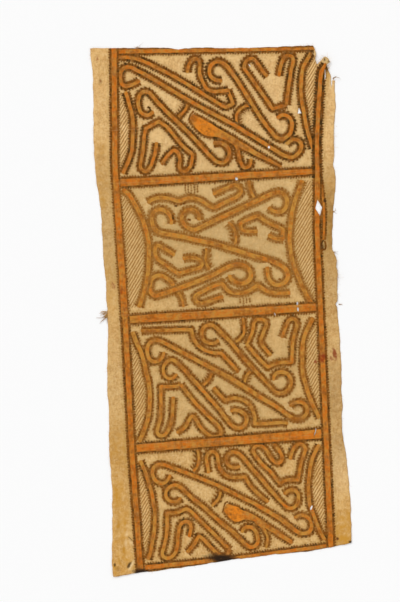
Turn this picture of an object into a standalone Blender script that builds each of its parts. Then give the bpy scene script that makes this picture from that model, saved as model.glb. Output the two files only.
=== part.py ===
"""A painted bark cloth, laid out flat: one long sheet of beaten bark with uneven edges.

The upper right corner is torn: a strip of the border has parted from the sheet, split and curled
at its tip. A diamond-shaped tear and a few worn holes go right through, and low creases cross the
cloth where it was once folded.

Metres, +Z up. The cloth lies on z = 0 with its long side along Y, and the origin is the middle of
the footprint. The tables below are in millimetres, across from the cloth's left-most point and up
from its lowest corner.
"""

from collections import namedtuple
from itertools import pairwise
from math import ceil, cos, hypot, pi, radians, sin, tau

import bmesh
import bpy
from mathutils import Vector
from mathutils.geometry import intersect_point_tri_2d

MM = 0.001

# The cloth as it lies, in millimetres
LENGTH = 1401.0
WIDTH = 646.0
THICKNESS = 1.2

# How finely the edge is drawn, and how far it wavers between the points of the tables
EDGE_STEP = 14.0
WAVER_LENGTHS = (37.0, 61.0)
WAVER = 0.5

# Left side, from the lower corner up: how far the edge lies in from the left-most point
Side = namedtuple("Side", "up inset")
LEFT_SIDE = (
    Side(0, 2),
    Side(36, 0),
    Side(121, 4.5),
    Side(231, 9.5),
    Side(336, 5.5),
    Side(441, 10),
    Side(481, 7.5),
    Side(541, 9.5),
    Side(611, 14),
    Side(661, 17),
    Side(701, 17.5),
    Side(749, 15.5),
    Side(781, 17),
    Side(831, 13),
    Side(971, 11.5),
    Side(1026, 6),
    Side(1071, 1.5),
    Side(1151, 0),
    Side(1271, 4.5),
    Side(1341, 5.5),
    Side(1386, 2),
)

# Right side, from the torn corner down: how far the edge lies in from the right-most point
RIGHT_SIDE = (
    Side(1288, 0),
    Side(1262, 2),
    Side(1226, 0.5),
    Side(1196, 4.5),
    Side(1149, 9),
    Side(1096, 10.5),
    Side(1067, 14.5),
    Side(1051, 11.5),
    Side(1022, 9.5),
    Side(996, 12),
    Side(974, 15.5),
    Side(945, 20),
    Side(915, 22),
    Side(880, 25.5),
    Side(842, 27),
    Side(826, 20),
    Side(812, 15.5),
    Side(794, 18),
    Side(775, 15),
    Side(730, 18.5),
    Side(704, 19),
    Side(697, 24.5),
    Side(688, 21.5),
    Side(627, 17.5),
    Side(521, 16),
    Side(465, 19),
    Side(428, 17),
    Side(400, 21),
    Side(357, 22),
    Side(322, 17),
    Side(282, 13),
    Side(229, 9.5),
    Side(166, 7.5),
    Side(83, 9),
)

# Lower edge, from the lower right corner to the left: how far it rises towards the right
End = namedtuple("End", "across rise")
LOWER_END = (
    End(636, 63),
    End(592, 55),
    End(526, 45),
    End(420, 40),
    End(371, 35),
    End(331, 33.5),
    End(220, 20),
    End(141, 13),
    End(103, 9),
    End(76, 9),
    End(41, 4.5),
)

# Upper edge and torn corner, from the left: how far each point lies below the highest one
UPPER_END = (
    End(1.5, 0),
    End(54, 1),
    End(107, 3.5),
    End(178, 5),
    End(206, 7),
    End(236, 12.5),
    End(251, 10.5),
    End(310, 10),
    End(332, 13),
    End(385, 15.5),
    End(486, 17),
    End(558, 17),
    End(592, 18.5),
)
TORN_CORNER = (
    End(596.5, 28),
    End(599, 40),
    End(596.5, 56),
    End(599.5, 69),
    End(604.5, 64.5),
    End(611, 59),
    End(615.5, 54),
    End(619, 50),
    End(625, 50),
    End(630, 54.5),
    End(635, 64.5),
    End(628, 68),
    End(624.5, 73),
    End(628, 81),
    End(632, 92),
    End(636, 101),
    End(635, 109),
    End(636.2, 131),
    End(639.3, 111.5),
)

# Tears and worn holes that go through: pointed or rounded by the number of their corners, with
# the first corner at the upper tip, and a positive lean turning that tip to the left
Hole = namedtuple("Hole", "across up width length lean corners")
HOLES = (
    Hole(588.3, 953.0, 18.0, 44.0, 6, 4),
    Hole(548.0, 1210.5, 11.5, 21.0, 3, 3),
    Hole(374.0, 1039.5, 7.5, 9.0, 20, 7),
    Hole(463.5, 1119.5, 5.5, 7.5, 0, 6),
    Hole(520.5, 702.5, 5.0, 11.0, -4, 6),
    Hole(521.5, 687.0, 5.0, 12.0, 5, 6),
    Hole(534.0, 160.0, 5.0, 14.0, -24, 6),
)

# Creases from folding, which cross the whole cloth: the place of each at the left and the right
# side, how far it bows up between them, the height of its soft ridge at either side, and half
# its width
Fold = namedtuple("Fold", "left right bow rise_left rise_right reach")
FOLDS = (
    Fold(1179, 1188, 4, 1.5, 0.9, 17),
    Fold(1041, 1052, -3, 1.8, 1.5, 20),
    Fold(915, 922, 5, 1.6, 0.8, 16),
    Fold(693, 699, -4, 1.7, 2.2, 22),
    Fold(427, 438, 3, 1.6, 0.6, 17),
    Fold(350, 355, -5, 0.7, 1.9, 20),
    Fold(142, 150, 4, 0.6, 1.2, 17),
)

# A ridge rises and falls along its length by this share, over this many millimetres
RIDGE_SWING = 0.35
RIDGE_WAVE = 210.0

# Places that stand a little off the surface, each as a round swell that fades out at its reach
Lift = namedtuple("Lift", "across up rise reach")
LIFTS = (
    Lift(628, 1350, 6.0, 62),
    Lift(600, 1392, 2.2, 70),
    Lift(0, 1405, 2.0, 90),
    Lift(0, 0, 2.4, 110),
    Lift(640, 55, 1.8, 90),
    Lift(0, 690, 2.0, 60),
    Lift(640, 800, 2.6, 90),
    Lift(646, 700, 2.2, 50),
    Lift(598, 930, 1.6, 34),
    Lift(646, 1130, 1.6, 80),
    Lift(0, 1130, 1.5, 90),
    Lift(0, 300, 1.4, 80),
    Lift(646, 380, 1.5, 60),
)

# The sheet bears on the surface over the three-cornered area between these places, and stands
# this little off it outside
Place = namedtuple("Place", "across up")
BEARING_CORNERS = (
    Place(95, 1262),
    Place(560, 1228),
    Place(330, 98),
)
STAND_OFF = 0.2

# The grid that carries the folds
COLUMNS = 18
ROWS_ON_A_RIDGE = 6
ROW_STEP = 34.0
OVERHANG = 8.0
CUTTER_HEIGHT = 60.0

BARK_COLOUR = (0.56, 0.40, 0.20, 1.0)
BARK_ROUGHNESS = 0.9


def clear_scene():
    for old in list(bpy.data.objects):
        bpy.data.objects.remove(old)


def new_collection(name):
    collection = bpy.data.collections.new(name)
    bpy.context.scene.collection.children.link(collection)
    return collection


def bark_material():
    material = bpy.data.materials.new("beaten_bark")
    material.use_nodes = True
    shader = material.node_tree.nodes["Principled BSDF"]
    shader.inputs["Base Color"].default_value = BARK_COLOUR
    shader.inputs["Roughness"].default_value = BARK_ROUGHNESS
    shader.inputs["Metallic"].default_value = 0.0
    return material


# The outline


def wavering(start, end):
    """The points of one stretch of edge, without its end, wavering a little to either side."""
    run = hypot(end[0] - start[0], end[1] - start[1])
    steps = ceil(run / EDGE_STEP)
    side = ((start[1] - end[1]) / run, (end[0] - start[0]) / run)
    points = [start]
    for i in range(1, steps):
        x = start[0] + (end[0] - start[0]) * i / steps
        y = start[1] + (end[1] - start[1]) * i / steps
        off = sum(WAVER * sin(tau * (x + y) / length) for length in WAVER_LENGTHS)
        points.append((x + off * side[0], y + off * side[1]))
    return points


def outline():
    """The edge of the cloth, clockwise from the lower left corner."""
    corners = [(row.inset, row.up) for row in LEFT_SIDE]
    corners += [(row.across, LENGTH - row.rise) for row in UPPER_END + TORN_CORNER]
    corners += [(WIDTH - row.inset, row.up) for row in RIGHT_SIDE]
    corners += [(row.across, row.rise) for row in LOWER_END]
    points = []
    for start, end in pairwise(corners + corners[:1]):
        points += wavering(start, end)
    return points


def hole_points(hole):
    lean = radians(hole.lean)
    points = []
    for i in range(hole.corners):
        turn = tau * i / hole.corners
        x = hole.width / 2 * sin(turn)
        y = hole.length / 2 * cos(turn)
        points.append((
            hole.across + x * cos(lean) - y * sin(lean),
            hole.up + x * sin(lean) + y * cos(lean),
        ))
    return points


def middle_of(points):
    """The middle of the box around these points."""
    across = [x for x, _ in points]
    up = [y for _, y in points]
    return (min(across) + max(across)) / 2, (min(up) + max(up)) / 2


# The folds


def ridge(distance, reach):
    """A soft ridge, 1 on its line and 0 from its reach on."""
    if abs(distance) >= reach:
        return 0.0
    return cos(pi / 2 * distance / reach) ** 2


def height(across, up):
    """How far the underside of the cloth stands off the surface."""
    share = across / WIDTH
    rise = 0.0
    for fold in FOLDS:
        line = fold.left + (fold.right - fold.left) * share + fold.bow * sin(pi * share)
        peak = fold.rise_left + (fold.rise_right - fold.rise_left) * share
        peak *= 1 - RIDGE_SWING * (1 + sin(tau * (across + fold.left) / RIDGE_WAVE)) / 2
        rise = max(rise, peak * ridge(up - line, fold.reach))
    for lift in LIFTS:
        rise = max(rise, lift.rise * ridge(hypot(across - lift.across, up - lift.up), lift.reach))
    return rise


def row_stations():
    """Where the rows of the grid cross the left and the right side, close together on ridges."""
    stations = [(-OVERHANG, -OVERHANG)]
    for fold in sorted(FOLDS, key=lambda row: row.left):
        first = (fold.left - fold.reach, fold.right - fold.reach)
        last = stations[-1]
        steps = ceil((first[0] - last[0]) / ROW_STEP)
        for i in range(1, steps):
            share = i / steps
            stations.append(tuple(a + (b - a) * share for a, b in zip(last, first)))
        for i in range(ROWS_ON_A_RIDGE + 1):
            on = 2 * fold.reach * i / ROWS_ON_A_RIDGE
            stations.append((first[0] + on, first[1] + on))
    last = stations[-1]
    steps = ceil((LENGTH + OVERHANG - last[0]) / ROW_STEP)
    for i in range(1, steps + 1):
        share = i / steps
        stations.append(tuple(a + (LENGTH + OVERHANG - a) * share for a in last))
    return stations


def settle(bm, middle):
    """Lays the grid on the surface: flat over its bearing area, and just clear outside it."""
    corners = []
    for place in BEARING_CORNERS:
        at = Vector(((place.across - middle[0]) * MM, (place.up - middle[1]) * MM))
        corners.append(min(bm.verts, key=lambda vertex: (vertex.co.xy - at).length))
    bearing = [corner.co.xy for corner in corners]
    for vertex in bm.verts:
        if vertex in corners:
            vertex.co.z = 0.0
        elif not intersect_point_tri_2d(vertex.co.xy, *bearing):
            vertex.co.z = max(vertex.co.z, STAND_OFF * MM)


def folded_grid(name, middle):
    """An open grid, larger than the cloth all round, that already has its folds."""
    stations = row_stations()
    rows = len(stations) - 1
    bm = bmesh.new()
    bmesh.ops.create_grid(bm, x_segments=COLUMNS, y_segments=rows, size=0.5)
    for vertex in bm.verts:
        share = vertex.co.x + 0.5
        left, right = stations[round((vertex.co.y + 0.5) * rows)]
        across = -OVERHANG + (WIDTH + 2 * OVERHANG) * share
        up = left + (right - left) * share
        vertex.co.x = (across - middle[0]) * MM
        vertex.co.y = (up - middle[1]) * MM
        vertex.co.z = height(across, up) * MM
    settle(bm, middle)
    mesh = bpy.data.meshes.new(name)
    bm.to_mesh(mesh)
    bm.free()
    return bpy.data.objects.new(name, mesh)


# The cutter


def outline_prism(name, outer, middle):
    """A tall solid on the cloth's outline, with its holes, that trims the grid."""
    curve = bpy.data.curves.new(name, "CURVE")
    curve.dimensions = "2D"
    curve.fill_mode = "BOTH"
    curve.extrude = CUTTER_HEIGHT / 2 * MM
    for loop in [outer] + [hole_points(hole) for hole in HOLES]:
        spline = curve.splines.new("POLY")
        spline.points.add(len(loop) - 1)
        for point, (x, y) in zip(spline.points, loop):
            point.co = ((x - middle[0]) * MM, (y - middle[1]) * MM, 0.0, 1.0)
        spline.use_cyclic_u = True
    return bpy.data.objects.new(name, curve)


def as_closed_mesh(curve_object, collection):
    """A mesh object in place of a filled curve, with its caps welded to its sides."""
    collection.objects.link(curve_object)
    evaluated = curve_object.evaluated_get(bpy.context.evaluated_depsgraph_get())
    mesh = bpy.data.meshes.new_from_object(evaluated)
    bm = bmesh.new()
    bm.from_mesh(mesh)
    bmesh.ops.remove_doubles(bm, verts=bm.verts, dist=0.01 * MM)
    bmesh.ops.recalc_face_normals(bm, faces=bm.faces)
    bm.to_mesh(mesh)
    bm.free()
    solid = bpy.data.objects.new(curve_object.name, mesh)
    solid.matrix_world = curve_object.matrix_world
    bpy.data.objects.remove(curve_object)
    collection.objects.link(solid)
    solid.hide_render = True
    solid.display_type = "WIRE"
    return solid


def build():
    clear_scene()
    parts = new_collection("painted bark cloth")
    cutters = new_collection("cutters")

    edge = outline()
    middle = middle_of(edge)
    cutter = as_closed_mesh(outline_prism("cloth_outline", edge, middle), cutters)

    cloth = folded_grid("bark_cloth", middle)
    cloth.data.materials.append(bark_material())
    parts.objects.link(cloth)

    thick = cloth.modifiers.new("thickness", "SOLIDIFY")
    thick.thickness = THICKNESS * MM
    thick.offset = 1.0

    trim = cloth.modifiers.new("outline", "BOOLEAN")
    trim.operation = "INTERSECT"
    trim.solver = "EXACT"
    trim.object = cutter


build()
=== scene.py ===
"""The looks of the painted bark cloth: one thin beaten sheet with its painting, stains and fray.

Places on the cloth are in millimetres, across from its left-most point and up from its lowest
corner. The scene is in metres, with the cloth lying on z = 0.
"""

from collections import namedtuple
from itertools import pairwise
from math import ceil, cos, hypot, pi, radians, sin, tau

import bmesh
import bpy
import numpy as np
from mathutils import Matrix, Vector, noise
from mathutils.geometry import delaunay_2d_cdt
from mathutils.kdtree import KDTree


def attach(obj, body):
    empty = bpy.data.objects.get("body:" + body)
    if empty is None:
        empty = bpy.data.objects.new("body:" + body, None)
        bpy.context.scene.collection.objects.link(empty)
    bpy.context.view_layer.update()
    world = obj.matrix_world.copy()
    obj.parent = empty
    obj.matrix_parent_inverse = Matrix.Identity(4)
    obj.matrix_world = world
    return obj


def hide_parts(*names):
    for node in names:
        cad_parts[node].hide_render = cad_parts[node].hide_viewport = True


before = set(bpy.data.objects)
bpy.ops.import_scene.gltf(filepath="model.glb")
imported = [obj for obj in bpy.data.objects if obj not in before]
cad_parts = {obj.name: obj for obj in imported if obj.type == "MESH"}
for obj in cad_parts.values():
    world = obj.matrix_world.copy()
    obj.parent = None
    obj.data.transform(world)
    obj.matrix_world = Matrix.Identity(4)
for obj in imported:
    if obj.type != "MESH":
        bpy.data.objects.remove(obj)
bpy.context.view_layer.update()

MM = 0.001
NODE = "bark_cloth"

# The cloth's size in millimetres, and its middle
LENGTH = 1401.7
WIDTH = 646.0
CENTRE = np.array([WIDTH / 2, LENGTH / 2])

# The sheet, in millimetres. It is thinner near its rim.
SHEET_THICK = 0.9
RIM_THICK = 0.45
RIM_THINS = 3.0
RIM_FELT = 30.0
CLEARANCE = 0.05

# The steps between the mesh's points, and in shares of a step how far apart their rows are, how far
# chance moves them and how far they keep from the rim
TOP_STEP = 3.4
TOP_FREE = 0.55
UNDER_STEP = 9.0
UNDER_FREE = 0.5
ROW_SHARE = 0.88
SCATTER = 0.24
RIM_STEP = 2.3

# How far the rim wavers in and out, in millimetres, and the size, share and seed of its waves
RIM_FRAY = 0.55
RIM_WAVES = ((9.0, 1.0, 0.0), (3.1, 0.6, 5.0))

# Corners of the solid that are closer than this, in millimetres, are one point
SAME_PLACE = 0.02

# The texture map, in shares of its side: the room that the cloth's length and each side's width may
# take, and the margin. The underside lies to the right of the middle.
MAP_LONG = 0.99
MAP_WIDE = 0.49
MAP_MARGIN = 0.003
MAP_MIDDLE = 0.5

SEED = 7


# The painting, charted on squares. Each chart has its upper left corner at a place on the
# cloth and its own side of a square, and all of them are turned a little on the cloth.

Chart = namedtuple("Chart", "across up square")
WHOLE = Chart(1.1, 1397.0, 2.65)
FIRST = Chart(-23.7, 1437.9, 4.56)
SECOND = Chart(118.4, 1047.1, 2.65)
THIRD = Chart(103.4, 702.9, 2.65)
FOURTH = Chart(114.8, 357.6, 2.65)
CHART_TURN = radians(2.5)

# How a stroke is painted, in millimetres: half the width of its ochre, the width of the dark line
# along either side, and the length of the teeth outside that
Kind = namedtuple("Kind", "core outline comb")
BAR = Kind(4.7, 7.0, 3.4)
CHAIN = Kind(4.3, 6.8, 3.4)
ARCH = Kind(3.3, 6.8, 3.2)
FIELD = Kind(7.0, 6.4, 3.4)
SIDE_ARC = Kind(4.5, 7.0, 3.2)
WIDE_BAR = Kind(5.6, 5.8, 3.8)
WIDE_CHAIN = Kind(4.7, 5.8, 3.8)
WIDE_ARC = Kind(5.2, 5.8, 3.4)
BORDER = Kind(6.6, 6.2, 2.4)
STRONG_BORDER = Kind(5.2, 8.0, 3.6)
BROAD_BORDER = Kind(9.4, 4.4, 3.0)
BAND = Kind(9.7, 5.8, 4.0)
TOP_BAND = Kind(5.6, 5.6, 3.4)
LINE = Kind(0, 2.8, 0)
SPLIT_BORDER = Kind(3.0, 4.0, 2.0)
THIN = Kind(0, 0.6, 2.2)
CRACK = Kind(0, 1.2, 0)
DOT = Kind(0, 3.0, 0)
BORDERS = (BORDER, BROAD_BORDER, STRONG_BORDER)
SIDE_ARCS = (SIDE_ARC, WIDE_ARC)
LONG_TEETH = 13.0

# A stroke: its kind, the points of its middle line in squares right and down, the length of the teeth
# on its left and right where it isn't the kind's own, how far apart they are against others of their
# length, how dark its lines are, and whether it opens into the ochre that it crosses. A point's third
# number is the share of the ochre's width there, and a point that comes twice is a sharp corner.
Stroke = namedtuple("Stroke", "kind points left right apart ink opens", defaults=(None, None, 1, 1, 0))

FIRST_PANEL = (
    Stroke(ARCH, ((62.5, 37), (62, 42), (57, 48)), right=LONG_TEETH * 0.7),
    Stroke(ARCH, ((101, 41), (95.5, 41.5), (91, 46), (91.5, 53)), left=LONG_TEETH * 0.7),
    Stroke(FIELD, (
        (64.6, 47, 1.1), (68.5, 50.6, 2), (73, 54, 2.5), (76.5, 55.6, 2.2), (80.5, 57, 1.6),
        (86.7, 60, 1.3), (92, 63, 1.15), (100, 67.6, 0.9), (117, 76.5, 0.4),
    )),
    Stroke(LINE, ((66.2, 43.9), (64.4, 46.2), (63, 49.2))),
    Stroke(CHAIN, ((88, 60), (91.5, 66), (93, 73), (95.5, 77), (98.5, 76), (99.5, 72)), opens=1),
    Stroke(CHAIN, (
        (22, 12.5), (28.5, 13), (33.5, 14), (37.5, 15.5), (43, 18), (54.5, 24), (62, 28.3), (69, 32.7),
        (77.5, 38), (84.5, 42), (84.5, 42), (89, 40), (89, 40), (86, 32), (86, 32), (83, 32.5), (76, 32.5),
        (73.5, 31), (71, 26.5), (69.5, 22), (69.7, 17), (68.8, 14.5), (66.5, 13.8), (64, 15.8),
        (62.8, 18.5), (62.5, 22),
    )),
    Stroke(CHAIN, (
        (109, 24), (106, 20.7), (102.8, 16), (99.8, 13.5), (96.5, 15.2), (95.5, 18.7), (98.5, 23.5),
        (103, 30), (108, 37), (112, 43), (112, 43), (119.8, 40.4), (119.8, 40.4), (121, 32.7),
        (121.8, 26.7), (122.8, 20), (123.8, 15.3), (123.4, 12.7), (121.5, 11.8), (119, 12.5), (117.3, 15.7),
        (116.2, 20), (115.6, 24),
    )),
    Stroke(CHAIN, (
        (44.5, 62.5), (43.8, 68), (42.9, 71.5), (41.3, 76), (39, 79), (37, 79), (35.3, 76.8), (35.6, 72.5),
        (36.5, 68), (37, 63.5), (37.3, 59), (38.2, 54.5), (38.2, 54.5), (46, 50), (46, 50), (51, 54),
        (56, 60), (60, 64.5), (65.5, 69.5), (65.5, 69.5), (64, 76.5), (60.5, 79.3), (58, 77.5), (58, 72),
        (57, 68.5), (54.5, 67), (51.5, 69.5), (47.5, 75),
    )),
    Stroke(BAR, (
        (82.5, 26.6), (79.3, 26.2), (76.9, 25), (75.3, 22.5), (75.3, 19.5), (77.2, 16.5), (80.4, 15.3),
        (84.3, 17.2), (88, 21.5), (91.7, 26.7), (95.5, 33), (100.5, 41), (106, 49.5), (111, 56),
        (114.5, 59.5), (118.5, 60.2), (122.3, 57), (123.2, 51.5), (121.2, 47.5), (117.5, 46.4),
        (114.5, 48.3),
    )),
    Stroke(BAR, (
        (42.7, 44.7), (40, 46.4), (37.8, 46.4), (35.6, 45.2), (34.2, 42), (34, 37.5), (35.2, 34),
        (37.8, 32.8), (40.4, 33.7), (42.7, 36.3), (46.7, 40.7), (51, 45.2), (60, 53.5), (70, 64),
        (76, 70.5), (80, 73.7), (84.3, 73.6), (86.7, 70), (85.9, 65.5), (82.5, 62.7), (77.5, 62.8),
    )),
    Stroke(BAR, (
        (34.5, 26.5), (32, 28), (29, 29.3), (26.3, 29.6), (24.3, 28.3), (23.5, 25.5), (23.6, 22.3),
        (24.9, 19.8), (27, 18.6), (29.7, 18.8), (33.5, 20.6), (38.7, 23.4), (47.7, 28.7), (61.8, 37.2),
        (75.8, 44.5), (90, 52.5), (110, 64.7), (119.5, 70.3), (124, 70.8), (128.3, 66.5), (128.3, 62.6),
        (124.6, 60.6), (120, 63.3),
    )),
    Stroke(SIDE_ARC, (
        (26.5, 33), (28.4, 39.4), (30.2, 45.6), (30.9, 52.3), (30.7, 59), (30.4, 65.5), (29.3, 70),
        (27.6, 74.5), (25, 80.5),
    )),
    Stroke(SIDE_ARC, (
        (134.3, 10.5), (132.2, 14), (130, 17.8), (129, 22), (128.5, 28.5), (128.5, 35), (129.4, 41),
        (130.5, 47.5), (132, 55), (135.3, 66),
    )),
)

SECOND_PANEL = (
    Stroke(ARCH, (
        (88.6, 42.3), (92.7, 46.7), (95.4, 52.4), (95.8, 58.8), (94.6, 64.5),
    ), right=LONG_TEETH * 0.6, apart=1.7),
    Stroke(ARCH, (
        (66, 68), (66.4, 73.5), (65.4, 79), (66, 83), (67.5, 86.5), (69.5, 89.5),
    ), left=LONG_TEETH * 0.6, apart=1.8),
    Stroke(ARCH, ((36.5, 111), (40, 115), (42.3, 120), (43.5, 126.5))),
    Stroke(ARCH, ((109, 0.5), (109.7, 8), (111.6, 13.2), (114.4, 18.3))),
    Stroke(WIDE_CHAIN, (
        (8, 22.8), (11.5, 20), (17.5, 18), (24.3, 17.6), (31, 18.7), (37, 20.8), (40.5, 20.8), (46, 18.8),
        (52, 17.8), (58, 19), (64, 22.3), (69, 25.8), (73.5, 27.4), (78, 26), (84, 22.8), (91.4, 19.3),
        (98, 15.8), (101, 11.5), (99.5, 7.3), (95.5, 5.2), (91, 5.9), (86, 8), (80, 10.8), (73, 13.8),
    )),
    Stroke(WIDE_CHAIN, (
        (34.5, 74.8), (30, 71.8), (25.8, 69.4), (21.5, 66.8), (18, 65.2), (15.6, 66.8), (14.8, 71),
        (16, 76), (18.5, 79.8), (23, 83), (28, 86.6), (33, 90.2), (38.5, 93.5), (38.5, 93.5), (45.5, 91.7),
        (51, 89.9), (56.5, 88.6), (60.5, 87), (62, 83.8), (60.8, 80.8), (57.5, 78.8), (53, 77.6),
        (47.7, 77.6), (43, 78.3),
    )),
    Stroke(WIDE_CHAIN, (
        (117.5, 51), (113.5, 51.4), (107.6, 51.3), (102.4, 49.7), (100.6, 46.6), (101.1, 43.5),
        (104.5, 40.9), (110.2, 38.3), (118, 35.6), (118, 35.6), (125.2, 40.9), (130.4, 43.6), (136.2, 46),
        (142.8, 49.4), (142.8, 49.4), (142.8, 58.8), (142.8, 58.8), (137, 58.8), (133, 57.2), (128.4, 54.9),
    )),
    Stroke(WIDE_CHAIN, (
        (83, 116.5), (78, 118), (73, 119.8), (66, 122.3), (60.5, 123), (56, 120.5), (55.3, 116.5),
        (58.6, 113.5), (63.5, 111), (69.5, 107.6), (75, 105.5), (81.5, 103), (81.5, 103), (84, 106),
        (86.5, 109.3), (90, 111.8), (95, 113), (101.5, 112.9), (108.4, 110.7), (113.5, 107.8), (117.5, 105),
        (117.5, 105), (121.5, 107.6), (127, 111), (133.7, 112.8), (142, 113.2), (150, 112.8),
    )),
    Stroke(WIDE_BAR, (
        (31.4, 44, 0.8), (31.6, 39.8, 0.8), (29.2, 34, 0.85), (25.5, 30.7, 0.9), (21, 29.3, 0.9),
        (16.5, 30.2, 0.9), (13.1, 33, 0.9), (11.9, 37.5, 0.9), (12, 42, 0.9), (13.4, 46.5), (16.5, 50.7),
        (21.2, 52.8), (27.9, 54), (35.7, 55.3), (43.5, 56.8), (51.3, 58.8), (64.3, 61.4), (77.3, 64.4),
        (91.5, 68.6), (101.2, 71.9), (111, 75), (120.7, 77.7), (130.4, 80.5), (136.9, 83.1), (143.2, 87),
        (147.3, 91.5), (147.8, 96.5), (145.4, 101.3), (140.8, 104.4, 0.9), (135.6, 104.6, 0.9),
        (130.6, 101.3, 0.85), (128.2, 96.1, 0.8), (127.6, 90.9, 0.8), (127, 87, 0.8),
    )),
    Stroke(WIDE_BAR, (
        (33, 105.5, 0.9), (31.8, 102.8, 0.9), (29, 99.6, 0.9), (24.8, 96.8, 0.9), (20.1, 95.4, 0.9),
        (16, 95.9, 0.9), (12.3, 98.5, 0.9), (10.4, 102.7, 0.9), (10, 107.9, 0.9), (11.3, 112.6),
        (14.6, 115.2), (19.1, 114.8), (25.3, 113), (31, 111), (38.3, 108.4), (46.1, 105.6), (53.9, 102.6),
        (61.7, 99.6), (69.5, 96.4), (78.5, 91.9), (85, 88.4), (91.5, 85.6), (98, 84.2), (103.2, 84.9),
        (107.7, 87.7), (110.3, 91.6), (111, 95.6), (109, 99.9), (105.1, 102.6), (99.9, 103.2, 0.9),
        (94.7, 101.3, 0.9), (91, 98.3, 0.9), (89.6, 95.2, 0.8),
    )),
    Stroke(WIDE_BAR, (
        (58.8, 40, 0.8), (59.2, 36.5, 0.8), (57.8, 33, 0.8), (54.5, 30.4, 0.85), (49.7, 29.4, 0.85),
        (45.6, 30.7, 0.85), (42.7, 34, 0.85), (41.8, 38.8, 0.85), (43.5, 43.6, 0.9), (47, 47.2, 0.9),
        (52, 49.3, 0.9), (56, 49.2, 0.9), (61, 47, 0.9), (67, 44), (74.7, 40.2), (82, 37), (91.4, 32.8),
        (101.5, 27.7), (113, 22.7), (123, 17.8), (131.9, 13.6), (138.2, 12), (144, 14.5), (147, 20),
        (146.5, 25, 0.9), (144.6, 29.3, 0.9), (140.8, 31.8, 0.9), (136, 31.8, 0.85), (131.5, 29.8, 0.85),
        (128.6, 27.4, 0.8),
    )),
    Stroke(WIDE_ARC, (
        (-17.5, 9.4), (-11.1, 14.5), (-4.8, 24.6), (0.9, 36), (5.7, 48.6), (8.4, 61), (8.9, 73.8),
        (8.6, 85), (7.4, 96), (4.9, 109), (1, 120.8), (-1.2, 127),
    )),
    Stroke(WIDE_ARC, (
        (162.3, 0.5), (158.5, 10.7), (154.6, 21.5), (151.9, 34), (150.3, 46), (149.6, 58), (150.4, 70),
        (153, 82), (156.8, 93), (161.4, 104.5), (166.3, 114), (171, 123),
    )),
)

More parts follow.
